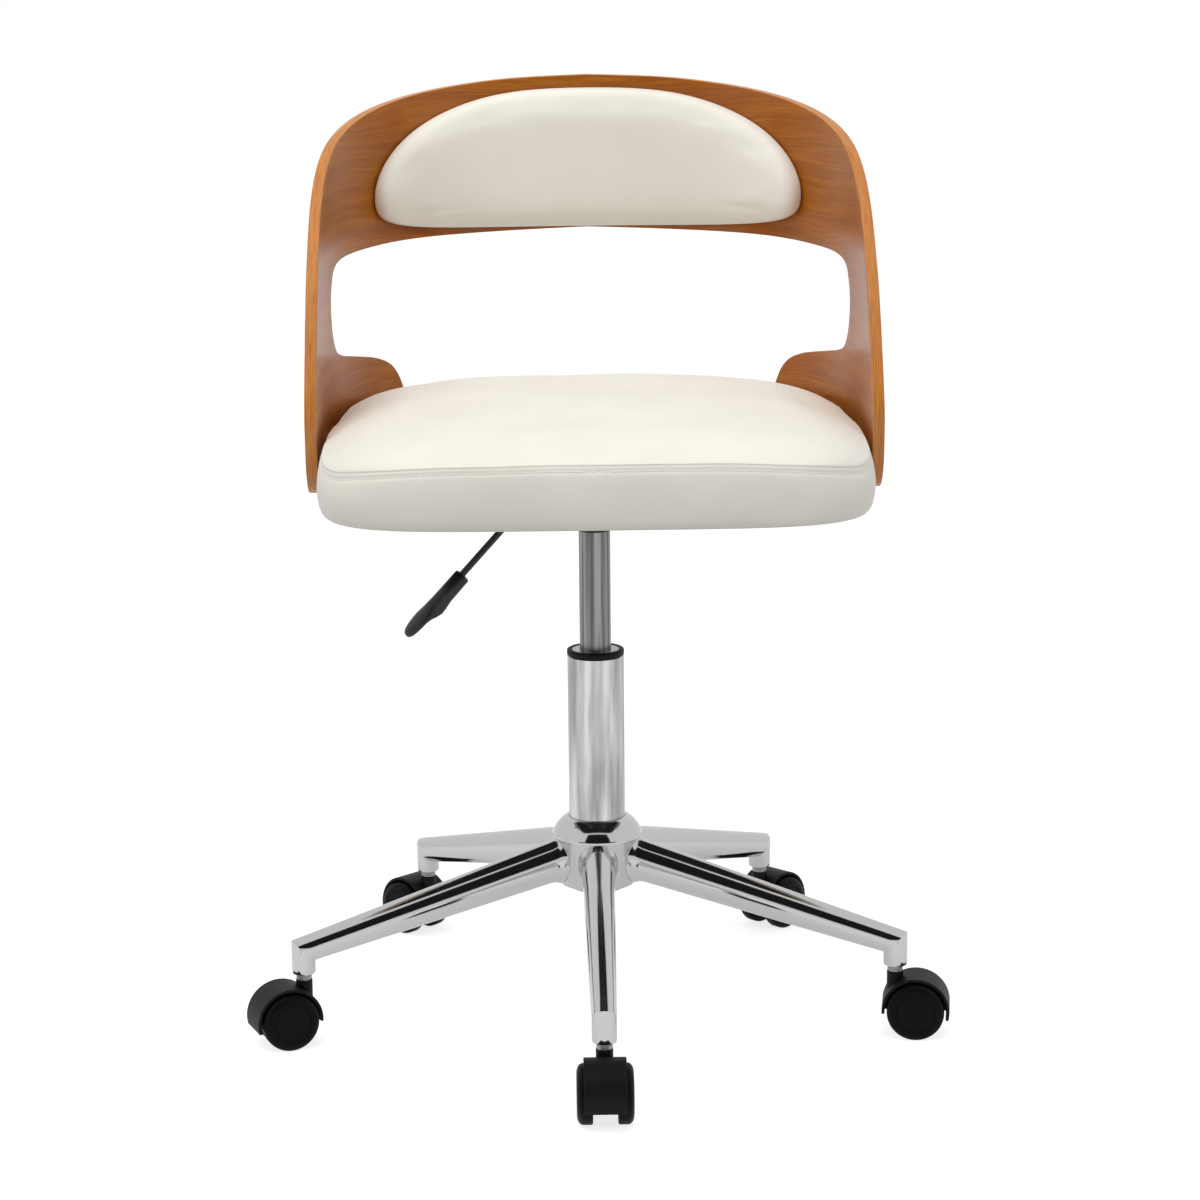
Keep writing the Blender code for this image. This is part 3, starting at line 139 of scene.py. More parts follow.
def turned(profile, steps=72):
    """A profile of (radius, height) points spun once round Z. One that leaves the axis is closed on itself."""
    bm = bmesh.new()
    points = [bm.verts.new((radius, 0, height)) for radius, height in profile]
    pairs = list(zip(points, points[1:]))
    if profile[0][0] > 0:
        pairs.append((points[-1], points[0]))
    edges = [bm.edges.new(pair) for pair in pairs]
    bmesh.ops.spin(
        bm, geom=points + edges, axis=(0, 0, 1), cent=(0, 0, 0), steps=steps, angle=math.tau, use_merge=True
    )
    bmesh.ops.remove_doubles(bm, verts=bm.verts, dist=0.002 * MM)
    return bm


def piece_of(name, bm, material, body, stands_for=(), angle=35, round_over=0.0):
    """Makes the piece from its mesh, with smooth faces and sharp corners, and lets it ride on its body."""
    bmesh.ops.remove_doubles(bm, verts=bm.verts, dist=0.002 * MM)
    bmesh.ops.recalc_face_normals(bm, faces=bm.faces)
    mesh = bpy.data.meshes.new(name)
    bm.to_mesh(mesh)
    bm.free()
    mesh.shade_smooth()
    mesh.set_sharp_from_angle(angle=math.radians(angle))
    obj = bpy.data.objects.new(name, mesh)
    bpy.context.scene.collection.objects.link(obj)
    mesh.materials.append(material)
    if round_over:
        bevel = obj.modifiers.new("round_over", "BEVEL")
        bevel.width = round_over
        bevel.segments = 3
        bevel.limit_method = "ANGLE"
        bevel.angle_limit = math.radians(40)
    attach(obj, body)
    if stands_for:
        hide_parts(*stands_for)
    return obj


def give(material, *nodes):
    """Gives CAD nodes their material."""
    for name in nodes:
        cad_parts[name].data.materials[0] = material


def wheel_shape(side):
    """A wheel with a blind bore for the axle, a rounded shoulder and a shallow ring groove in its disc."""
    bore, bore_end = 3.3 * MM, 19.8 * MM
    shoulder_out, shoulder_up = 7.5 * MM, 5.1 * MM
    shoulder = [
        (
            WHEEL_RADIUS - shoulder_out + shoulder_out * math.cos(math.radians(a)),
            WHEEL_OUTER_FACE - shoulder_up + shoulder_up * math.sin(math.radians(a)),
        )
        for a in range(0, 91, 10)
    ]
    profile = [
        (0, bore_end),
        (bore, bore_end),
        (bore, WHEEL_INNER_FACE),
        (WHEEL_RADIUS - 1.2 * MM, WHEEL_INNER_FACE),
        (WHEEL_RADIUS - 0.4 * MM, WHEEL_INNER_FACE + 0.35 * MM),
        (WHEEL_RADIUS, WHEEL_INNER_FACE + 1.2 * MM),
        *shoulder,
        (17.0 * MM, WHEEL_OUTER_FACE - 0.5 * MM),
        (16.2 * MM, WHEEL_OUTER_FACE - 0.5 * MM),
        (15.7 * MM, WHEEL_OUTER_FACE),
        (0, WHEEL_OUTER_FACE),
    ]
    bm = turned(profile, 80)
    bmesh.ops.rotate(bm, verts=bm.verts, matrix=Matrix.Rotation(-side * math.pi / 2, 3, "X"))
    bmesh.ops.translate(bm, verts=bm.verts, vec=(CASTER_TRAIL, 0, AXLE_Z))
    return bm


def hood_shape():
    """The hood's band swept round the axle, its web between the wheels, and the boss that takes the stem."""
    bm = bmesh.new()
    made = bmesh.ops.create_grid(bm, x_segments=1, y_segments=1, size=0.5)["verts"]
    bmesh.ops.scale(bm, verts=made, vec=(HOOD_WALL, 2 * HOOD_HALF_WIDTH, 1))
    bmesh.ops.translate(bm, verts=made, vec=(HOOD_WALL / 2 - HOOD_RADIUS, 0, 0))
    bmesh.ops.rotate(bm, verts=made, matrix=Matrix.Rotation(HOOD_START, 3, "Y"))
    band = made + bm.edges[:] + bm.faces[:]
    bmesh.ops.spin(bm, geom=band, axis=(0, 1, 0), cent=(0, 0, 0), steps=54, angle=HOOD_SWEEP)
    bmesh.ops.translate(bm, verts=bm.verts, vec=(CASTER_TRAIL, 0, AXLE_Z))
    web = bmesh.ops.create_cone(
        bm,
        cap_ends=True,
        segments=72,
        radius1=HOOD_RADIUS - HOOD_WALL / 2,
        radius2=HOOD_RADIUS - HOOD_WALL / 2,
        depth=WEB_THICKNESS,
        matrix=Matrix.Translation((CASTER_TRAIL, 0, AXLE_Z)) @ Matrix.Rotation(math.pi / 2, 4, "X"),
    )["verts"]
    web_edges = {edge for vert in web for edge in vert.link_edges}
    web_faces = {face for vert in web for face in vert.link_faces}
    web += list(web_edges | web_faces)
    plane = (CASTER_TRAIL, 0, AXLE_Z - 3 * MM)
    cut = bmesh.ops.bisect_plane(bm, geom=web, plane_co=plane, plane_no=(0, 0, -1), clear_outer=True)
    bmesh.ops.edgeloop_fill(bm, edges=[e for e in cut["geom_cut"] if isinstance(e, bmesh.types.BMEdge)])
    bmesh.ops.create_cone(
        bm,
        cap_ends=True,
        segments=48,
        radius1=BOSS_RADIUS,
        radius2=BOSS_RADIUS,
        depth=BOSS_DEPTH,
        matrix=Matrix.Translation((0, 0, BOSS_TOP_Z - BOSS_DEPTH / 2)),
    )
    return bm


def collar_shape():
    """The stem's collar, ribbed where it shows between the socket and the boss."""
    stem_foot, stem_tip = -16 * MM, 23 * MM
    ribs = []
    for rib in range(4):
        low = (0.2 + 1.2 * rib) * MM
        ribs += [(COLLAR_RADIUS, low), (RIB_RADIUS, low + 0.35 * MM), (RIB_RADIUS, low + 0.75 * MM)]
    profile = [(0, stem_foot), (STEM_RADIUS, stem_foot), (STEM_RADIUS, 0), (COLLAR_RADIUS, 0), *ribs]
    profile += [(COLLAR_RADIUS, COLLAR_HEIGHT), (STEM_RADIUS, COLLAR_HEIGHT)]
    profile += [(STEM_RADIUS, stem_tip), (0, stem_tip)]
    bm = turned(profile, 40)
    bmesh.ops.translate(bm, verts=bm.verts, vec=(0, 0, BOSS_TOP_Z + GAP))
    return bm


def set_at(bm, leg_angle, heading):
    """Moves a caster's piece from its own stem axis to the end of its leg, turned to its heading."""
    out = Matrix.Rotation(math.radians(leg_angle - 90), 4, "Z") @ Vector((LEG_REACH, 0, 0, 1))
    turn = Matrix.Rotation(math.radians(heading - 90), 4, "Z")
    place_there = Matrix.Translation((out.x, out.y + COLUMN_Y, 0)) @ turn
    bmesh.ops.transform(bm, matrix=place_there, verts=bm.verts)
    return bm


for spot, leg_angle, heading in PLACES:
    hood = set_at(hood_shape(), leg_angle, heading)
    replaced = [f"caster_hood_{spot}"]
    body = f"caster_{spot}"
    piece_of(f"hood_{spot}", hood, moulded_nylon, body, replaced, round_over=0.5 * MM)
    collar = set_at(collar_shape(), leg_angle, heading)
    piece_of(f"collar_{spot}", collar, zinc_plate, "base", [f"caster_stem_{spot}"])
    for letter, side in (("a", 1), ("b", -1)):
        tyre = set_at(wheel_shape(side), leg_angle, heading)
        body = f"wheel_{letter}_{spot}"
        piece_of(f"tyre_{letter}_{spot}", tyre, wheel_nylon, body, [body], angle=30)
    give(zinc_plate, f"caster_axle_{spot}")

# Base
# A pressed steel hub with a domed cover and five tapered tube legs, welded, polished and chrome plated.
# Each leg's end is mitred and turned down into a short socket that takes the caster's stem.

HUB_Z = 116.29 * MM
HUB_RIM_Z = 162.29 * MM
HUB_RIM_RADIUS = 40 * MM
HUB_BORE = 25.3 * MM
LEG_HALF_WIDTH = 14.6 * MM
LEG_HALF_HEIGHT = 19.5 * MM
SOCKET_Z = 62.29 * MM
SOCKET_RADIUS = 10.4 * MM
SOCKET_BORE = 5.8 * MM

# Bright chrome over buffed steel: a clear mirror, with the faint waves that the buffing wheel leaves
bright_chrome, shader = finish_of("bright_chrome", base_color=linear("C8C9CA"), metallic=1.0, roughness=0.07)
place = add_node(bright_chrome, "TexCoord", {}).outputs["Object"]
haze = add_node(bright_chrome, "TexNoise", {"Vector": place, "Scale": 35, "Detail": 4})
rough = add_node(bright_chrome, "MapRange", {"Value": haze.outputs[0], "To Min": 0.05, "To Max": 0.12})
connect(bright_chrome, rough.outputs[0], shader.inputs["Roughness"])
# The buffing leaves waves about 15 mm long
waves = add_node(bright_chrome, "TexNoise", {"Vector": place, "Scale": 65, "Detail": 1})
bump = add_node(bright_chrome, "Bump", {"Height": waves.outputs[0], "Strength": 0.35, "Distance": 0.12 * MM})
connect(bright_chrome, bump.outputs[0], shader.inputs["Normal"])


def on_column(bm):
    bmesh.ops.translate(bm, verts=bm.verts, vec=(0, COLUMN_Y, 0))
    return bm


# The cover's dome falls from the tube to the rim, a little flatter than round
dome = [
    (
        HUB_BORE + 14.2 * MM * math.sin(math.radians(a)) ** 1.35,
        HUB_RIM_Z + 0.2 * MM + 15.8 * MM * math.cos(math.radians(a)) ** 1.35,
    )
    for a in (0, 8, 16, 24, 32, 40, 48, 56, 64, 72, 79, 86)
]
hub_profile = [
    *dome,
    (HUB_RIM_RADIUS, HUB_RIM_Z),
    (HUB_RIM_RADIUS, HUB_RIM_Z - 1.4 * MM),
    (39.2 * MM, HUB_RIM_Z - 3 * MM),
    (33.8 * MM, HUB_Z + 1.5 * MM),
    (33.2 * MM, HUB_Z + 0.4 * MM),
    (32 * MM, HUB_Z),
    (HUB_BORE, HUB_Z),
]
piece_of("hub", on_column(turned(hub_profile, 96)), bright_chrome, "base", ["base_hub"], angle=25)


def leg_shape():
    """A tapered oval tube from inside the hub to the mitre, and on down into the round socket."""
    mitre_centre, mitre_half = SOCKET_Z + 20.5 * MM, 9.5 * MM
    start_x, start_z = 37 * MM, (HUB_Z + HUB_RIM_Z) / 2 + 1 * MM
    bm = bmesh.new()
    loops = []

    def add_ring(x, z, across, along, up):
        """A ring of the tube: its middle, its half width, and how far its top leans out and up."""
        lay = Matrix(((0, along, 0, x), (across, 0, 0, 0), (0, up, 1, z), (0, 0, 0, 1)))
        ring = bmesh.ops.create_circle(bm, segments=64, radius=1, matrix=lay)["verts"]
        loops.append(list({edge for vert in ring for edge in vert.link_edges}))

    # The fillet of the weld at the hub, then the taper, which has the mitre as its end
    for share, fillet in (
        (-0.03, 3),
        (-0.012, 3),
        (0.0, 2.3),
        (0.008, 1.2),
        (0.018, 0.45),
        (0.032, 0),
        (0.25, 0),
        (0.5, 0),
        (0.75, 0),
        (0.97, 0),
        (1, 0),
    ):
        add_ring(
            start_x + (LEG_REACH - start_x) * share,
            start_z + (mitre_centre - start_z) * share,
            LEG_HALF_WIDTH + (SOCKET_RADIUS - LEG_HALF_WIDTH) * share + fillet * MM,
            SOCKET_RADIUS * max(share, 0),
            LEG_HALF_HEIGHT + (mitre_half - LEG_HALF_HEIGHT) * share + fillet * MM,
        )
    for radius, z in (
        (SOCKET_RADIUS, SOCKET_Z + 9.5 * MM),
        (SOCKET_RADIUS, SOCKET_Z + 1.8 * MM),
        (SOCKET_RADIUS - 0.5 * MM, SOCKET_Z + 0.6 * MM),
        (SOCKET_RADIUS - 1.8 * MM, SOCKET_Z),
        (SOCKET_BORE, SOCKET_Z),
        (SOCKET_BORE, SOCKET_Z + 17 * MM),
    ):
        add_ring(LEG_REACH, z, radius, radius, 0)
    for low, high in zip(loops, loops[1:]):
        bmesh.ops.bridge_loops(bm, edges=low + high)
    bmesh.ops.holes_fill(bm, edges=bm.edges)
    return bm


for spot, leg_angle, _ in PLACES:
    leg = leg_shape()
    bmesh.ops.rotate(leg, verts=leg.verts, matrix=Matrix.Rotation(math.radians(leg_angle - 90), 3, "Z"))
    piece_of(f"tube_leg_{spot}", on_column(leg), bright_chrome, "base", [f"leg_{spot}"], angle=28)

# Gas lift
# A drawn steel outer tube, satin chromed, stands in the hub. A ground and nitrided pressure tube slides in it
# through a black guide bush, with a zinc washer set into the bush's top.

TUBE_RADIUS = 25 * MM
TUBE_BORE = 23 * MM
TUBE_FOOT_Z = 112.29 * MM
TUBE_TOP_Z = 324.29 * MM
GUIDE_TOP_Z = 329.59 * MM
GUIDE_BORE = 14.1 * MM
SLIDE_RADIUS = 13.8 * MM
SLIDE_TAPER = 11.8 * MM
SLIDE_FOOT_Z = 227.59 * MM
SLIDE_TOP_Z = 457.09 * MM
ROD_HOLE = 5.3 * MM
BUTTON_HOLE = 3.3 * MM
CUP_Z = 435.59 * MM

# Satin chrome on a centreless-ground tube: soft reflections drawn out along the tube, with faint vertical marks
satin_chrome, shader = finish_of("satin_chrome", metallic=1.0, roughness=0.24)
place = add_node(satin_chrome, "TexCoord", {}).outputs["Object"]
# Painted reflection: cloudy light and dark bands 5 to 15 mm wide, painted into the base colour as the blurred
# reflections of the surround
painted_reflection_bands = add_node(satin_chrome, "Mapping", {"Vector": place, "Scale": (75, 75, 7)})
painted_reflection_bands = add_node(satin_chrome, "TexNoise", {"Vector": painted_reflection_bands.outputs[0], "Scale": 1, "Detail": 3})
# The ramp turns the painted reflection bands into the tube's lighter and darker greys
tone = add_node(satin_chrome, "ValToRGB", {"Fac": painted_reflection_bands.outputs[0]})
low, high = tone.color_ramp.elements
low.position, high.position = 0.36, 0.6
low.color, high.color = linear("A2A2A2"), linear("DEDEDE")
connect(satin_chrome, tone.outputs[0], shader.inputs["Base Color"])
drawn = add_node(satin_chrome, "Mapping", {"Vector": place, "Scale": (420, 420, 6)})
marks = add_node(satin_chrome, "TexNoise", {"Vector": drawn.outputs[0], "Scale": 1, "Detail": 3})
rough = add_node(satin_chrome, "MapRange", {"Value": marks.outputs[0], "To Min": 0.18, "To Max": 0.32})
connect(satin_chrome, rough.outputs[0], shader.inputs["Roughness"])
bump = add_node(satin_chrome, "Bump", {"Height": marks.outputs[0], "Strength": 0.2, "Distance": 0.05 * MM})
connect(satin_chrome, bump.outputs[0], shader.inputs["Normal"])

# Nitrided steel, ground lengthwise: a darker grey metal with streaks 1 to 3 mm wide
ground_steel, shader = finish_of("ground_steel", metallic=1.0, roughness=0.36)
place = add_node(ground_steel, "TexCoord", {}).outputs["Object"]
drawn = add_node(ground_steel, "Mapping", {"Vector": place, "Scale": (360, 360, 5)})
streak = add_node(ground_steel, "TexNoise", {"Vector": drawn.outputs[0], "Scale": 1, "Detail": 4})
tone = add_node(ground_steel, "ValToRGB", {"Fac": streak.outputs[0]})
low, high = tone.color_ramp.elements
low.position, high.position = 0.38, 0.64
low.color, high.color = linear("666666"), linear("A8A8A8")
connect(ground_steel, tone.outputs[0], shader.inputs["Base Color"])
bump = add_node(ground_steel, "Bump", {"Height": streak.outputs[0], "Strength": 0.3, "Distance": 0.05 * MM})
connect(ground_steel, bump.outputs[0], shader.inputs["Normal"])

outer_profile = [
    (TUBE_RADIUS, TUBE_FOOT_Z + 0.8 * MM),
    (TUBE_RADIUS, TUBE_TOP_Z - 0.8 * MM),
    (TUBE_RADIUS - 0.8 * MM, TUBE_TOP_Z),
    (TUBE_BORE, TUBE_TOP_Z),
    (TUBE_BORE, TUBE_FOOT_Z + 9 * MM),
    (ROD_HOLE, TUBE_FOOT_Z + 9 * MM),
    (ROD_HOLE, TUBE_FOOT_Z + 5.5 * MM),
    (TUBE_BORE, TUBE_FOOT_Z + 5.5 * MM),
    (TUBE_BORE, TUBE_FOOT_Z),
    (TUBE_RADIUS - 0.8 * MM, TUBE_FOOT_Z),
]
outer_tube = on_column(turned(outer_profile, 96))
piece_of("lift_tube", outer_tube, satin_chrome, "base", ["outer_tube"])
bush_profile = [
    (GUIDE_BORE, TUBE_TOP_Z - 58 * MM),
    (TUBE_BORE - GAP, TUBE_TOP_Z - 58 * MM),
    (TUBE_BORE - GAP, TUBE_TOP_Z + GAP),
    (25 * MM, TUBE_TOP_Z + GAP),
    (25.2 * MM, TUBE_TOP_Z + 1.2 * MM),
    (25.2 * MM, GUIDE_TOP_Z - 1.2 * MM),
    (24.8 * MM, GUIDE_TOP_Z - 0.4 * MM),
    (24 * MM, GUIDE_TOP_Z),
    (21.4 * MM, GUIDE_TOP_Z),
    (21 * MM, GUIDE_TOP_Z - 0.4 * MM),
    (21 * MM, GUIDE_TOP_Z - 2 * MM),
    (GUIDE_BORE, GUIDE_TOP_Z - 2 * MM),
]
bush = on_column(turned(bush_profile, 96))
piece_of("guide_ring", bush, moulded_nylon, "base", ["guide_bush"])
pressure_profile = [
    (ROD_HOLE, SLIDE_FOOT_Z),
    (SLIDE_RADIUS, SLIDE_FOOT_Z),
    (SLIDE_RADIUS, CUP_Z - GAP),
    (SLIDE_TAPER, CUP_Z - GAP),
    (SLIDE_TAPER, SLIDE_TOP_Z),
    (BUTTON_HOLE, SLIDE_TOP_Z),
    (BUTTON_HOLE, SLIDE_TOP_Z - 26 * MM),
    (SLIDE_TAPER, SLIDE_TOP_Z - 26 * MM),
    (SLIDE_TAPER, SLIDE_FOOT_Z + 12 * MM),
    (ROD_HOLE, SLIDE_FOOT_Z + 12 * MM),
]
slide = on_column(turned(pressure_profile, 80))
piece_of("slide_tube", slide, ground_steel, "seat", ["pressure_tube"])
give(zinc_plate, "guide_washer", "thrust_bearing", "piston_rod", "retaining_clip", "valve_button")

# Mechanism
# A pressed steel plate and housing under the seat board, powder coated black. A taper cup holds the lift's
# top, and four plated screws hold the plate.

# Black powder coat on sheet steel: low gloss, with an orange-peel skin about 1 mm across
powder_coat, shader = finish_of("powder_coat", base_color=linear("1B1B1B"), roughness=0.45, ior=1.5)
place = add_node(powder_coat, "TexCoord", {}).outputs["Object"]
peel = add_node(powder_coat, "TexNoise", {"Vector": place, "Scale": 900, "Detail": 2})
bump = add_node(powder_coat, "Bump", {"Height": peel.outputs[0], "Strength": 0.4, "Distance": 0.06 * MM})
connect(powder_coat, bump.outputs[0], shader.inputs["Normal"])
rough = add_node(powder_coat, "MapRange", {"Value": peel.outputs[0], "To Min": 0.38, "To Max": 0.52})
connect(powder_coat, rough.outputs[0], shader.inputs["Roughness"])
give(powder_coat, "taper_cup", "mechanism_housing", "mechanism_plate")
give(zinc_plate, *[f"plate_screw_{number}" for number in range(1, 5)])
give(moulded_nylon, "lever_bush")

# Lever
# A bent steel rod, painted black, from over the lift's button out past the cushion. A moulded grip is pushed
# on its end: round where it takes the rod, then thinned into a flat paddle.

LEVER_Z = 465.59 * MM
LEVER_SLOPE = math.radians(48)
ROD_BEND_X = -46.95 * MM
ROD_BEND_RADIUS = 14 * MM
ROD_REACH = 87 * MM
give(powder_coat, "lever_rod")

# Nylon from a polished mould, worn by the hand: black, with a broad soft gleam along its flats
grip_nylon, shader = finish_of("grip_nylon", base_color=linear("161616"), roughness=0.4, ior=1.5)
place = add_node(grip_nylon, "TexCoord", {}).outputs["Object"]
# The wear comes and goes over about 8 mm
wear = add_node(grip_nylon, "TexNoise", {"Vector": place, "Scale": 120, "Detail": 4})
rough = add_node(grip_nylon, "MapRange", {"Value": wear.outputs[0], "To Min": 0.32, "To Max": 0.5})
connect(grip_nylon, rough.outputs[0], shader.inputs["Roughness"])
bump = add_node(grip_nylon, "Bump", {"Height": wear.outputs[0], "Strength": 0.1, "Distance": 0.1 * MM})
connect(grip_nylon, bump.outputs[0], shader.inputs["Normal"])


def handle_shape():
    """Rings from the grip's mouth to the paddle's tip, bridged, with a bore for the rod."""
    bm = bmesh.new()
    loops = []
    # Each ring: distance along, offset, half thickness and half width, in millimetres
    for along, offset, thick, wide in (
        (12, 0, 3.3, 3.3),
        (0, 0, 3.3, 3.3),
        (0, 0, 6.4, 6.4),
        (0.8, 0, 7.2, 7.2),
        (24, -0.2, 7.5, 7.3),
        (33, -0.9, 8.4, 7.6),
        (38, -0.9, 8.5, 8.1),
        (43, 0.2, 7.0, 8.8),
        (47, 1.7, 5.2, 9.4),
        (52, 2.5, 4.3, 9.7),
        (58, 2.6, 4.1, 9.4),
        (64, 2.6, 3.9, 8.6),
        (69, 2.6, 3.4, 7.0),
        (72, 2.6, 2.5, 4.6),
        (73, 2.6, 1.2, 2.4),
    ):
        rows = ((0, 0, 1, along), (wide, 0, 0, 0), (0, thick, 0, offset), (0, 0, 0, 1000))
        lay = Matrix(rows) * MM
        lay[3][3] = 1
        ring = bmesh.ops.create_circle(bm, segments=40, radius=1, matrix=lay)["verts"]
        loops.append(list({edge for vert in ring for edge in vert.link_edges}))
    for low, high in zip(loops, loops[1:]):
        bmesh.ops.bridge_loops(bm, edges=low + high)
    bmesh.ops.holes_fill(bm, edges=bm.edges)
    return bm


handle = handle_shape()
rod_way = Vector((-math.cos(LEVER_SLOPE), 0, -math.sin(LEVER_SLOPE)))
bend = Vector((ROD_BEND_X, 0, LEVER_Z))
curve_end = bend + ROD_BEND_RADIUS * Vector((-math.sin(LEVER_SLOPE), 0, math.cos(LEVER_SLOPE) - 1))
mouth = curve_end + ROD_REACH * rod_way
tilt = Matrix.Rotation(math.pi, 4, "Z") @ Matrix.Rotation(LEVER_SLOPE, 4, "Y")
# The grip is pushed on a little turned, so that its flat faces the sitter's hand
tilt = tilt @ Matrix.Rotation(math.radians(-28), 4, "X")
mouth_at = Matrix.Translation(mouth + Vector((0, COLUMN_Y, 0)))
bmesh.ops.transform(handle, matrix=mouth_at @ tilt, verts=handle.verts)
piece_of("paddle_grip", handle, grip_nylon, "lever", ["lever_handle"], angle=50)

# Seat
# A moulded foam cushion on a plywood board, in a sewn cover of cream faux leather: a crowned top panel, and a
# boxing round the sides, with one top-stitched seam between them. Black non-woven cloth closes the underside.

SEAT_Z = 478.09 * MM
SEAT_HALF_WIDTH = 225.5 * MM
SEAT_FRONT = 228 * MM
SEAT_REAR = 222 * MM
BOXING_HEIGHT = 54.5 * MM
SEAM_HEIGHT = 53 * MM
CUSHION_CROWN = 19 * MM
CROWN_INSET = 30 * MM
STITCH_DROP = 4.7 * MM
STITCH_INSET = 2.2 * MM
STITCH_SIZE = (1.4 * MM, 0.62 * MM, 0.62 * MM)

# Grained vinyl on cotton backing: cream, with a soft gloss on the skin and a pebble of cells 1.5 mm across
faux_leather, shader = finish_of("faux_leather", roughness=0.46, ior=1.48)
place = add_node(faux_leather, "TexCoord", {}).outputs["Object"]
wear = add_node(faux_leather, "TexNoise", {"Vector": place, "Scale": 9, "Detail": 3})
tone = add_node(faux_leather, "ValToRGB", {"Fac": wear.outputs[0]})
low, high = tone.color_ramp.elements
low.position, high.position = 0.3, 0.7
low.color, high.color = linear("ECE8DD"), linear("F3F0E6")
connect(faux_leather, tone.outputs[0], shader.inputs["Base Color"])
cells = add_node(
    faux_leather, "TexVoronoi", {"Vector": place, "Scale": 680, "Randomness": 0.9}, feature="DISTANCE_TO_EDGE"
)
pores = add_node(faux_leather, "TexNoise", {"Vector": place, "Scale": 1500, "Detail": 3})
skin = add_node(faux_leather, "Math", {0: cells.outputs[0], 1: pores.outputs[0]}, operation="ADD")
bump = add_node(faux_leather, "Bump", {"Height": skin.outputs[0], "Strength": 0.3, "Distance": 0.12 * MM})
connect(faux_leather, bump.outputs[0], shader.inputs["Normal"])
rough = add_node(faux_leather, "MapRange", {"Value": cells.outputs[0], "To Min": 0.52, "To Max": 0.4})
connect(faux_leather, rough.outputs[0], shader.inputs["Roughness"])

# Bonded polyester thread: a little brighter than the vinyl, with the twist as fine bands
thread, shader = finish_of("thread", base_color=linear("F8F6EE"), roughness=0.6, sheen_weight=0.3)
place = add_node(thread, "TexCoord", {}).outputs["Object"]
twist = add_node(thread, "TexWave", {"Vector": place, "Scale": 500, "Distortion": 2})
bump = add_node(thread, "Bump", {"Height": twist.outputs["Fac"], "Strength": 0.4, "Distance": 0.08 * MM})
connect(thread, bump.outputs[0], shader.inputs["Normal"])

# Non-woven polypropylene cloth, stapled on: flat black, matt, with a fibre mottle
dust_cloth, shader = finish_of("dust_cloth", roughness=0.95)
place = add_node(dust_cloth, "TexCoord", {}).outputs["Object"]
fibres = add_node(dust_cloth, "TexNoise", {"Vector": place, "Scale": 420, "Detail": 5, "Roughness": 0.7})
tone = add_node(dust_cloth, "ValToRGB", {"Fac": fibres.outputs[0]})
low, high = tone.color_ramp.elements
low.color, high.color = linear("0E0E0E"), linear("2A2A2A")
connect(dust_cloth, tone.outputs[0], shader.inputs["Base Color"])
bump = add_node(dust_cloth, "Bump", {"Height": fibres.outputs[0], "Strength": 0.6, "Distance": 0.2 * MM})
connect(dust_cloth, bump.outputs[0], shader.inputs["Normal"])
give(dust_cloth, "dust_cover")

# Birch plywood, sanded and unfinished: pale, with fine straight grain across the seat
birch_ply, shader = finish_of("birch_ply", roughness=0.7)
place = add_node(birch_ply, "TexCoord", {}).outputs["Object"]
along = add_node(birch_ply, "Mapping", {"Vector": place, "Scale": (6, 260, 900)})
grain = add_node(birch_ply, "TexNoise", {"Vector": along.outputs[0], "Scale": 1, "Detail": 5})
tone = add_node(birch_ply, "ValToRGB", {"Fac": grain.outputs[0]})
low, high = tone.color_ramp.elements
low.color, high.color = linear("B58B5C"), linear("D9BC8C")
connect(birch_ply, tone.outputs[0], shader.inputs["Base Color"])
give(birch_ply, "seat_board")


def signed_power(value, exponent):
    return math.copysign(abs(value) ** exponent, value)


def even_turns(point_at, count):
    """Angles at which an outline's points come out evenly spaced."""
    fine = [point_at(math.tau * i / 4000) for i in range(4001)]
    lengths = [0.0]
    for a, b in zip(fine, fine[1:]):
        lengths.append(lengths[-1] + (b - a).length)
    found = []
    for i in range(count):
        want = lengths[-1] * (i + 0.5) / count
        k = bisect.bisect_left(lengths, want)
        share = (want - lengths[k - 1]) / (lengths[k] - lengths[k - 1])
        found.append(math.tau * (k - 1 + share) / 4000)
    return found


def seat_outline(turn, inset=0.0, shrink=1.0):
    """A point of the seat's outline, seen from above, about the column. It is squarer and wider in front."""
    front = math.sin(turn) < 0
    power = 2 / (5.1 if front else 3.9)
    y = ((SEAT_FRONT if front else SEAT_REAR) - inset) * signed_power(math.sin(turn), power)
    x = (SEAT_HALF_WIDTH - inset - 0.058 * y) * signed_power(math.cos(turn), power)
    return Vector((x * shrink, y * shrink, 0))


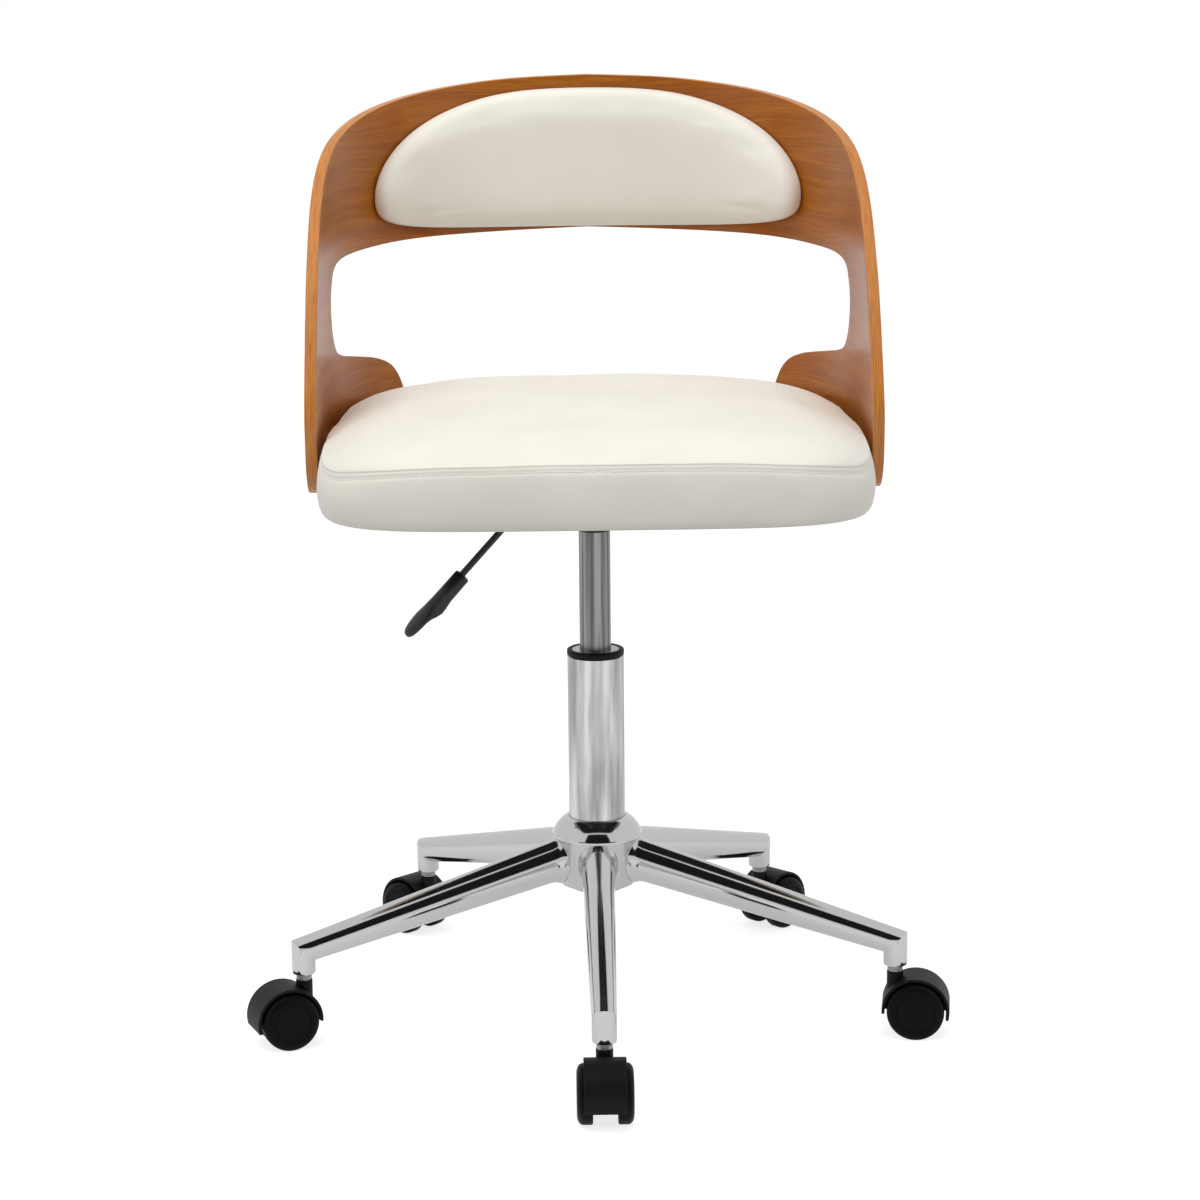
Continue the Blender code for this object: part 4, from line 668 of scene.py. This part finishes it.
def ringed_body(point_at, turns, sections, crown_inset, crown_height):
    """A closed body through rings of an outline, each (inset, height, share of the outline), under a crown.
    The crown is a square grid whose rim is laid on the last ring, so that it has no pole."""
    bm = bmesh.new()
    loops = []
    for inset, height, shrink in sections:
        ring = bmesh.ops.create_circle(bm, segments=len(turns), radius=1)["verts"]
        for vert, turn in zip(ring, turns):
            vert.co = point_at(turn, inset, shrink) + Vector((0, 0, height))
        loops.append(list({edge for vert in ring for edge in vert.link_edges}))
    bmesh.ops.contextual_create(bm, geom=loops[0])
    for low, high in zip(loops, loops[1:]):
        bmesh.ops.bridge_loops(bm, edges=low + high)
    side = len(turns) // 4
    crown = bmesh.ops.create_grid(bm, x_segments=side, y_segments=side, size=1)["verts"]
    for vert in crown:
        a, b = vert.co.x, vert.co.y
        share = max(abs(a), abs(b))
        if share < 1e-6:
            vert.co = point_at(0, crown_inset, 0) + Vector((0, 0, crown_height(0)))
            continue
        # How far round the square the point is, from its right-hand top corner
        if abs(b) >= abs(a):
            round_square = (0 if b > 0 else 2) + (1 - a / b) / 2
        else:
            round_square = (1 if a < 0 else 3) + (1 + b / a) / 2
        index = (side / 2 + round_square * side) % len(turns)
        low = turns[int(index + 1e-6) % len(turns)]
        high = turns[(int(index + 1e-6) + 1) % len(turns)]
        part = max(index - int(index + 1e-6), 0.0)
        turn = low + ((high - low) % math.tau) * part
        vert.co = point_at(turn, crown_inset, share) + Vector((0, 0, crown_height(share)))
    bmesh.ops.remove_doubles(bm, verts=bm.verts, dist=0.01 * MM)
    bmesh.ops.recalc_face_normals(bm, faces=bm.faces)
    return bm


def swell(obj, held, cap, frames=20, evening=14):
    """Blows the cover up over its foam: cloth under pressure, held where it is sewn or stapled.
    No point moves by more than the cap."""
    start = [vert.co.copy() for vert in obj.data.vertices]
    holds = [held(co) for co in start]
    group = obj.vertex_groups.new(name="sewn")
    for index, hold in enumerate(holds):
        group.add([index], hold, "REPLACE")
    cloth = obj.modifiers.new("cover", "CLOTH")
    cloth.settings.quality = 6
    cloth.settings.mass = 0.4
    cloth.settings.tension_stiffness = 25
    cloth.settings.compression_stiffness = 25
    cloth.settings.bending_stiffness = 2
    cloth.settings.use_pressure = True
    cloth.settings.uniform_pressure_force = 4
    cloth.settings.vertex_group_mass = "sewn"
    cloth.settings.effector_weights.gravity = 0
    cloth.point_cache.frame_start = 1
    cloth.point_cache.frame_end = frames
    scene = bpy.context.scene
    for number in range(1, frames + 1):
        scene.frame_set(number)
    graph = bpy.context.evaluated_depsgraph_get()
    blown = [vert.co.copy() for vert in obj.evaluated_get(graph).to_mesh().vertices]
    obj.modifiers.remove(cloth)
    scene.frame_set(1)
    # The foam evens out what bare cloth would crumple
    near = [[] for _ in start]
    for edge in obj.data.edges:
        near[edge.vertices[0]].append(edge.vertices[1])
        near[edge.vertices[1]].append(edge.vertices[0])
    steps = [moved - rest for rest, moved in zip(start, blown)]
    for _ in range(evening):
        steps = [
            sum((steps[index] for index in around), step) / (1 + len(around))
            for step, around in zip(steps, near)
        ]
    for vert, rest, step, hold in zip(obj.data.vertices, start, steps, holds):
        if step.length > cap:
            step = step.normalized() * cap
        vert.co = rest + step * (1 - hold)


def subdivided(obj, levels=1):
    surface = obj.modifiers.new("surface", "SUBSURF")
    surface.levels = levels
    surface.render_levels = levels


seat_turns = even_turns(seat_outline, 216)
# The board's pocket, the rolled foot and the boxing up to the seam, then the top panel's roll
# Each ring: inset and height in millimetres, and its share of the outline
seat_sections = [(13.7, 18.3, 0.5), (13.7, 18.3, 1), (13.7, 9, 1), (13.7, 0.2, 1), (10, -0.9, 1), (6, -1.1, 1)]
seat_sections += [(2.9, 0.6, 1), (0.9, 4, 1), (-0.3, 9, 1), (-0.9, 15, 1), (-1.2, 22, 1), (-1.0, 29, 1)]
seat_sections += [(-0.4, 36, 1), (0.5, 42.5, 1), (1.3, 46.4, 1), (2.3, 47.6, 1), (2.5, 48.8, 1), (2.4, 50.4, 1)]
seat_sections += [(2.9, 52, 1), (3.4, 52.6, 1), (3.4, 53.2, 1), (3.1, 53.7, 1), (3.4, 54.5, 1), (4.4, 56, 1)]
seat_sections += [(6.3, 57.7, 1), (9.1, 59.6, 1), (12.9, 61.4, 1), (17.7, 63.2, 1), (23.4, 64.6, 1), (30, 66, 1)]


def seat_crown(share):
    """The top panel's height, from its middle (0) to where its roll begins (1)."""
    return BOXING_HEIGHT + CUSHION_CROWN * (1 - 0.3947 * share**3.2)


cushion_bm = ringed_body(
    seat_outline,
    seat_turns,
    [(inset * MM, height * MM, share) for inset, height, share in seat_sections],
    CROWN_INSET,
    seat_crown,
)
bmesh.ops.translate(cushion_bm, verts=cushion_bm.verts, vec=(0, COLUMN_Y, SEAT_Z))
cushion = piece_of(
    "cushion_cover", cushion_bm, faux_leather, "seat", ["seat_cushion"], angle=180
)


def seat_hold(co):
    """Held fast under the board and along the seam, and free between them."""
    height = co.z - SEAT_Z
    if height < 4 * MM:
        return 1.0
    return max(0.0, 1 - abs(height - SEAM_HEIGHT) / (3.5 * MM))


swell(cushion, seat_hold, 3.5 * MM)


def seam_sway(co):
    """How far the hand-fed seam wanders up and down: long soft waves of a millimetre."""
    return noise.noise(Vector((co.x, co.y, 0)) * 17) * 1.1 * MM


def settled(co):
    """How far the cover is drawn down: at its front corners, and along its back edge towards the corners."""
    x, y, height = co.x, co.y - COLUMN_Y, co.z - SEAT_Z
    side_wall = max(0.0, min(1.0, (height - 12 * MM) / (32 * MM)))
    over_seam = max(0.0, min(1.0, (height - SEAM_HEIGHT) / (14 * MM)))
    corner = min(1.0, (x / (212 * MM)) ** 4) * max(0.0, min(1.0, (-y - 60 * MM) / (110 * MM)))
    rear = max(0.0, min(1.0, (y - 90 * MM) / (110 * MM)))
    at_corner = 11 * MM * corner * (1 - 0.6 * over_seam)
    at_rear = rear * (1.8 + 4.2 * min(1.0, (x / (150 * MM)) ** 2)) * MM
    return side_wall * (at_corner + at_rear)


# Foam and cover are never quite even: soft waves of half a millimetre, and small pulls along the seam
for vert in cushion.data.vertices:
    height = vert.co.z - SEAT_Z
    if height > 4 * MM:
        near_seam = max(0.0, 1 - abs(height - SEAM_HEIGHT) / (14 * MM))
        wave = noise.noise(vert.co * 16) * 0.9 + noise.noise(vert.co * 45) * 0.3
        pull = noise.noise(Vector((vert.co.x * 90, vert.co.y * 90, vert.co.z * 30))) * 0.5 * near_seam
        vert.co += vert.normal * (wave + pull) * MM
        vert.co.z += seam_sway(vert.co) * near_seam - settled(vert.co)
subdivided(cushion)

# The top stitch: one row on the boxing, under the seam
stitch_bm = bmesh.new()
cover_tree = BVHTree.FromObject(cushion, bpy.context.evaluated_depsgraph_get())
stitch_turns = even_turns(seat_outline, 470)
for first, second in zip(stitch_turns, stitch_turns[1:] + stitch_turns[:1]):
    a, b = seat_outline(first, STITCH_INSET), seat_outline(second, STITCH_INSET)
    middle = (a + b) / 2 + Vector((0, COLUMN_Y, SEAT_Z + SEAM_HEIGHT - STITCH_DROP))
    middle.z += seam_sway(middle) * 0.7 - settled(middle)
    on_cover, outward = cover_tree.find_nearest(middle)[:2]
    way = (b - a).normalized()
    lay = Matrix((way, way.cross(outward).normalized(), outward)).transposed().to_4x4()
    bmesh.ops.create_uvsphere(
        stitch_bm,
        u_segments=6,
        v_segments=4,
        radius=1,
        matrix=Matrix.Translation(on_cover) @ lay @ Matrix.Diagonal((*STITCH_SIZE, 1)),
    )
piece_of("seat_stitches", stitch_bm, thread, "seat", angle=180)

# Back
# One blank of moulded plywood with walnut faces, 10 mm thick. It is cut flat, its edges are eased, and it is
# bent round the seat in a heated press, then lacquered. Four bolts hold its wings to the seat board.

PLY = 10 * MM
SHELL_HALF_WIDTH = 243.5 * MM
SHELL_BACK = 252 * MM
SHELL_SQUARENESS = 2.7
ARRIS_ROUND = 0.9 * MM

# Walnut veneer under satin lacquer: red-brown, with wavy grain that runs round the bend
walnut, shader = finish_of("walnut", roughness=0.38, ior=1.45, coat_weight=0.3, coat_roughness=0.24)
shader.inputs["Specular IOR Level"].default_value = 0.35
blank = add_node(walnut, "UVMap", {}, uv_map="blank").outputs[0]
# The figure drifts over 60 to 300 mm along the grain, and over a few millimetres across it
drift = add_node(walnut, "Mapping", {"Vector": blank, "Scale": (5, 16, 1)})
drift = add_node(walnut, "TexNoise", {"Vector": drift.outputs[0], "Scale": 1, "Detail": 3})
sway = add_node(walnut, "VectorMath", {0: drift.outputs["Color"], 1: (0.5, 0.5, 0.5)}, operation="SUBTRACT")
sway = add_node(walnut, "VectorMath", {0: sway.outputs[0], "Scale": 0.032}, operation="SCALE")
warped = add_node(walnut, "VectorMath", {0: blank, 1: sway.outputs[0]}, operation="ADD")
figure = add_node(walnut, "Mapping", {"Vector": warped.outputs[0], "Scale": (4, 95, 1)})
figure = add_node(walnut, "TexNoise", {"Vector": figure.outputs[0], "Scale": 1, "Detail": 6, "Roughness": 0.6})
fine = add_node(walnut, "Mapping", {"Vector": warped.outputs[0], "Scale": (22, 700, 1)})
fine = add_node(walnut, "TexNoise", {"Vector": fine.outputs[0], "Scale": 1, "Detail": 3})
mixed = add_node(walnut, "Mix", {"Factor": 0.42, "A": figure.outputs[0], "B": fine.outputs[0]})
tone = add_node(walnut, "ValToRGB", {"Fac": mixed.outputs[0]})
low, high = tone.color_ramp.elements
low.position, high.position = 0.28, 0.72
low.color, high.color = linear("83430C"), linear("BC7728")
middle = tone.color_ramp.elements.new(0.5)
middle.color = linear("A25B12")
connect(walnut, tone.outputs[0], shader.inputs["Base Color"])
bump = add_node(walnut, "Bump", {"Height": fine.outputs[0], "Strength": 0.15, "Distance": 0.06 * MM})
connect(walnut, bump.outputs[0], shader.inputs["Normal"])
rough = add_node(walnut, "MapRange", {"Value": fine.outputs[0], "To Min": 0.3, "To Max": 0.42})
connect(walnut, rough.outputs[0], shader.inputs["Roughness"])

# The cut edge of the plies, sanded and lacquered: lighter and more orange, in seven thin lines
ply_edge, shader = finish_of("ply_edge", roughness=0.4, ior=1.5, coat_weight=0.2, coat_roughness=0.3)
depth = add_node(ply_edge, "Attribute", {}, attribute_name="ply_depth").outputs["Fac"]
blank = add_node(ply_edge, "UVMap", {}, uv_map="blank").outputs[0]
plies = add_node(ply_edge, "Math", {0: depth, 1: 4400.0}, operation="MULTIPLY")
plies = add_node(ply_edge, "Math", {0: plies.outputs[0]}, operation="SINE")
across_plies = add_node(ply_edge, "Math", {0: depth, 1: 20.0}, operation="MULTIPLY")
fleck = add_node(ply_edge, "SeparateXYZ", {0: blank})
fleck = add_node(
    ply_edge, "CombineXYZ", {0: fleck.outputs[0], 1: fleck.outputs[1], 2: across_plies.outputs[0]}
)
fleck = add_node(ply_edge, "TexNoise", {"Vector": fleck.outputs[0], "Scale": 45, "Detail": 4})
lines = {0: plies.outputs[0], 1: 0.12, 2: fleck.outputs[0]}
mixed = add_node(ply_edge, "Math", lines, operation="MULTIPLY_ADD")
tone = add_node(ply_edge, "ValToRGB", {"Fac": mixed.outputs[0]})
low, high = tone.color_ramp.elements
low.position, high.position = 0.25, 0.75
low.color, high.color = linear("AC611E"), linear("D08A3A")
connect(ply_edge, tone.outputs[0], shader.inputs["Base Color"])
bump = add_node(ply_edge, "Bump", {"Height": fleck.outputs[0], "Strength": 0.2, "Distance": 0.08 * MM})
connect(ply_edge, bump.outputs[0], shader.inputs["Normal"])

# The bend seen from above, from the middle of the back round to the side: its points, and how far along each is
plan_lengths, plan_points = [0.0], []
for step in range(1201):
    angle = math.pi / 2 * step / 1200
    point = Vector(
        (
            SHELL_HALF_WIDTH * math.sin(angle) ** (2 / SHELL_SQUARENESS),
            SHELL_BACK * max(math.cos(angle), 0.0) ** (2 / SHELL_SQUARENESS),
        )
    )
    if plan_points:
        plan_lengths.append(plan_lengths[-1] + (point - plan_points[-1]).length)
    plan_points.append(point)


def bent(flat):
    """Where a point of the flat blank comes to lie: along the bend, up, and in from the outer face."""
    side, along = math.copysign(1, flat.x), abs(flat.x)
    if along >= plan_lengths[-1]:
        point, outward = Vector((SHELL_HALF_WIDTH, plan_lengths[-1] - along)), Vector((1, 0))
    else:
        k = max(bisect.bisect_left(plan_lengths, along), 1)
        share = (along - plan_lengths[k - 1]) / (plan_lengths[k] - plan_lengths[k - 1])
        point = plan_points[k - 1].lerp(plan_points[k], share)
        slope = (plan_points[k] - plan_points[k - 1]).normalized()
        outward = Vector((-slope.y, slope.x))
    point = point - flat.z * outward
    return Vector((side * point.x, point.y + COLUMN_Y, SEAT_Z + flat.y))


# The blank's outline, half of it: its outer and its inner edge, in millimetres along and up
OUTER_EDGE = (
    (0, 338), (85, 334), (173, 322), (247, 304), (307, 281), (359, 248), (415, 202), (449, 167), (486, 108),
    (501, 76), (502, 50), (496, 24), (474, 5), (430, 1.5), (300, 1.5), (222, 2.2), (199, 10.5), (188.2, 27),
)
INNER_EDGE = (
    (0, 198), (85, 195), (173, 192), (237, 188), (287, 184), (313, 177), (324, 164), (329, 149), (328, 132),
    (322, 116), (310, 103), (290, 97), (270, 94), (250, 91), (225, 87), (206, 80), (195, 69), (187, 52),
)


def eased(points, steps=8):
    """A smooth line through points, as a spline batten would lie."""
    rows = [Vector(p) * MM for p in points]
    rows = [rows[0], *rows, rows[-1]]
    line = []
    for a, b, c, d in zip(rows, rows[1:], rows[2:], rows[3:]):
        for k in range(steps):
            t = k / steps
            bow, twist = 2 * a - 5 * b + 4 * c - d, 3 * b - a - 3 * c + d
            line.append(0.5 * (2 * b + (c - a) * t + bow * t**2 + twist * t**3))
    return [*line, rows[-1]]


shell_bm = bmesh.new()
edge_lines = []
for points in (OUTER_EDGE, INNER_EDGE):
    half = eased(points)
    line = [Vector((-p.x, p.y, 0)) for p in half[:0:-1]] + [Vector((p.x, p.y, 0)) for p in half]
    verts = [shell_bm.verts.new(p) for p in line]
    edge_lines += [shell_bm.edges.new(pair) for pair in zip(verts, verts[1:])]
bmesh.ops.bridge_loops(shell_bm, edges=edge_lines)
across = [edge for edge in shell_bm.edges if edge not in edge_lines]
bmesh.ops.subdivide_edges(shell_bm, edges=across, cuts=11, use_grid_fill=True)
for face in shell_bm.faces:
    if face.normal.z < 0:
        face.normal_flip()
raised = bmesh.ops.extrude_face_region(shell_bm, geom=shell_bm.faces[:])["geom"]
raised_verts = [item for item in raised if isinstance(item, bmesh.types.BMVert)]
bmesh.ops.translate(shell_bm, verts=raised_verts, vec=(0, 0, PLY))
bmesh.ops.recalc_face_normals(shell_bm, faces=shell_bm.faces)
arris = [
    edge
    for edge in shell_bm.edges
    if edge.is_manifold
    and edge.calc_face_angle() > math.radians(70)
    and max(abs(face.normal.z) for face in edge.link_faces) > 0.9
]
bmesh.ops.bevel(
    shell_bm, geom=arris, offset=ARRIS_ROUND, affect="EDGES", segments=3, profile=0.5, material=-1
)
blank_uv = shell_bm.loops.layers.uv.new("blank")
ply_depth = shell_bm.verts.layers.float.new("ply_depth")
for face in shell_bm.faces:
    face.material_index = 0 if abs(face.normal.z) > 0.8 else 1
    for loop in face.loops:
        loop[blank_uv].uv = loop.vert.co.xy
for vert in shell_bm.verts:
    vert[ply_depth] = vert.co.z
for vert in shell_bm.verts:
    vert.co = bent(vert.co)
shell = piece_of("walnut_shell", shell_bm, walnut, "seat", ["back_shell"], angle=45)
shell.data.materials.append(ply_edge)
give(zinc_plate, *[f"shell_bolt_{number}" for number in range(1, 5)])

# Back pad
# Foam on a thin backing board, in the same faux leather pulled over its edge and stapled behind. It follows
# the bend of the rail, and the cover puckers a little at its two ends.

PAD_LEVEL = 234.5 * MM
PAD_HALF_LENGTH = 227.5 * MM
PAD_RISE = 92 * MM
PAD_DROP = 36 * MM
PAD_THICKNESS = 23 * MM
PAD_CROWN_INSET = 11 * MM


def pad_outline(turn, inset=0.0, shrink=1.0):
    """A point of the pad's outline on the flat blank: a long D on its back, with its top drawn flat."""
    above = math.sin(turn) > 0
    power = 2 / (1.65 if above else 3.6)
    rise = signed_power(math.sin(turn), power)
    if above:
        # A soft ceiling, which the curve runs into without a corner
        rise = -math.log(math.exp(-24 * rise) + math.exp(-24 * 0.985)) / 24 / 0.957
    reach = (PAD_RISE if above else PAD_DROP) - inset
    x = (PAD_HALF_LENGTH - inset) * signed_power(math.cos(turn), 2 / (2.0 if above else 3.6))
    return Vector((x * shrink, PAD_LEVEL + 28 * MM + (reach * rise - 28 * MM) * shrink, 0))


pad_turns = even_turns(pad_outline, 200)
# The back, the rim and the roll of the front, as for the seat
pad_sections = [(4, 0.8, 0.5), (4, 0.8, 0.85), (4, 0.8, 1), (1.6, 2, 1), (0.5, 4.2, 1), (0.1, 7, 1), (0.2, 10, 1)]
pad_sections += [(1.2, 13, 1), (3.2, 15.6, 1), (6.4, 17.8, 1), (11, 19.6, 1)]


def pad_crown(share):
    return PAD_THICKNESS * (1 - 0.148 * share**5)


pad_bm = ringed_body(
    pad_outline,
    pad_turns,
    [(inset * MM, height * MM, share) for inset, height, share in pad_sections],
    PAD_CROWN_INSET,
    pad_crown,
)
pad = piece_of("pad_cover", pad_bm, faux_leather, "seat", ["back_pad"], angle=180)
swell(pad, lambda co: 1.0 if co.z < 5 * MM else 0.0, 1.6 * MM)
for vert in pad.data.vertices:
    front = max(0.0, min(1.0, (vert.co.z - 6 * MM) / (10 * MM)))
    wave = noise.noise(vert.co * 12) * 0.7 + noise.noise(vert.co * 40) * 0.15
    # The puckers: short ridges that fan out from each end, strongest 15 mm in from the rim
    end = max(0.0, 1 - abs(abs(vert.co.x) - 205 * MM) / (26 * MM))
    fan = math.sin((vert.co.y - PAD_LEVEL) / (3.6 * MM) + 2.5 * noise.noise(vert.co * 30))
    vert.co.z += front * (wave + 0.18 * end * fan) * MM
    vert.co = bent(Vector((vert.co.x, vert.co.y, PLY + vert.co.z)))
subdivided(pad)

# Studio
# A white floor that runs off into a white surround, with soft plain light from above and from the front.


def stage_piece(name, bm, material):
    mesh = bpy.data.meshes.new(name)
    bm.to_mesh(mesh)
    bm.free()
    mesh.materials.append(material)
    obj = bpy.data.objects.new(name, mesh)
    bpy.context.scene.collection.objects.link(obj)
    return obj


def seen_directly(material, path):
    """1 where a ray comes from the camera or through something clear, and 0 elsewhere."""
    rays = {0: path.outputs["Is Camera Ray"], 1: path.outputs["Is Transmission Ray"]}
    return add_node(material, "Math", rays, operation="MAXIMUM").outputs[0]


studio_white, shader = finish_of("studio_white", base_color=linear("C4C4C4"), roughness=0.9)
shader.inputs["Specular IOR Level"].default_value = 0.1
path = add_node(studio_white, "LightPath", {})
gloss = add_node(studio_white, "Math", {0: path.outputs["Is Glossy Ray"], 1: 0.48}, operation="MULTIPLY")
levels = {0: seen_directly(studio_white, path), 1: 0.77, 2: gloss.outputs[0]}
seen = add_node(studio_white, "Math", levels, operation="MULTIPLY_ADD")
shader.inputs["Emission Color"].default_value = linear("FFFFFF")
connect(studio_white, seen.outputs[0], shader.inputs["Emission Strength"])
floor_bm = bmesh.new()
bmesh.ops.create_circle(floor_bm, cap_ends=True, segments=96, radius=14)
stage_piece("floor", floor_bm, studio_white)

world = bpy.data.worlds.new("surround")
bpy.context.scene.world = world
world.use_nodes = True
air = world.node_tree.nodes["Background"]
air.inputs["Color"].default_value = linear("FFFFFF")
path = add_node(world, "LightPath", {})
gloss = add_node(world, "MapRange", {"Value": path.outputs["Is Glossy Ray"], "To Min": 0.46, "To Max": 0.85})
level = add_node(world, "Math", {0: seen_directly(world, path), 1: gloss.outputs[0]}, operation="MAXIMUM")
connect(world, level.outputs[0], air.inputs["Strength"])

for name, place, aim, size, power in (
    ("overhead", (-0.5, -0.5, 3.2), (0, 0, 0.5), 2.6, 50.5),
    ("front_left", (-2.8, -2.0, 1.8), (0, 0, 0.5), 1.6, 15),
    ("front_right", (2.9, -1.8, 1.6), (0, 0, 0.5), 1.6, 14),
):
    light = bpy.data.lights.new(name, "AREA")
    light.shape = "DISK"
    light.size = size
    light.energy = power
    lamp = bpy.data.objects.new(name, light)
    lamp.location = place
    lamp.rotation_euler = (Vector(aim) - Vector(place)).to_track_quat("-Z", "Y").to_euler()
    lamp.visible_glossy = False
    bpy.context.scene.collection.objects.link(lamp)

# The unlit room behind the photographer, which only polished metal and gloss show
dark_room, shader = finish_of("dark_room", base_color=linear("0C0C0C"), roughness=1.0)
room_bm = bmesh.new()
stand = Matrix.Translation((0, -3.6, 2.9)) @ Matrix.Rotation(math.pi / 2, 4, "X")
stand = stand @ Matrix.Diagonal((2.3, 2.2, 1, 1))
bmesh.ops.create_grid(room_bm, x_segments=1, y_segments=1, size=1, matrix=stand)
room = stage_piece("dark_room", room_bm, dark_room)
for ray in ("camera", "diffuse", "transmission", "volume_scatter", "shadow"):
    setattr(room, "visible_" + ray, False)

camera_data = bpy.data.cameras.new("camera")
camera_data.sensor_width = 36
camera_data.lens = 97.77
camera_data.clip_end = 100
camera_data.shift_x = 5 / 1200
camera = bpy.data.objects.new("camera", camera_data)
bpy.context.scene.collection.objects.link(camera)
# The photographer stood a degree to the left of straight ahead
aside = Matrix.Rotation(math.radians(-0.9), 3, "Z")
camera.location = aside @ Vector((0, -2.794, 0.97329)) + Vector((0, COLUMN_Y, 0))
pitch = Matrix.Rotation(math.pi / 2 - 0.2117, 3, "X")
roll = Matrix.Rotation(math.radians(-0.55), 3, "Z")
camera.rotation_euler = (aside @ pitch @ roll).to_euler()
bpy.context.scene.camera = camera

bpy.context.scene.view_settings.view_transform = "Standard"
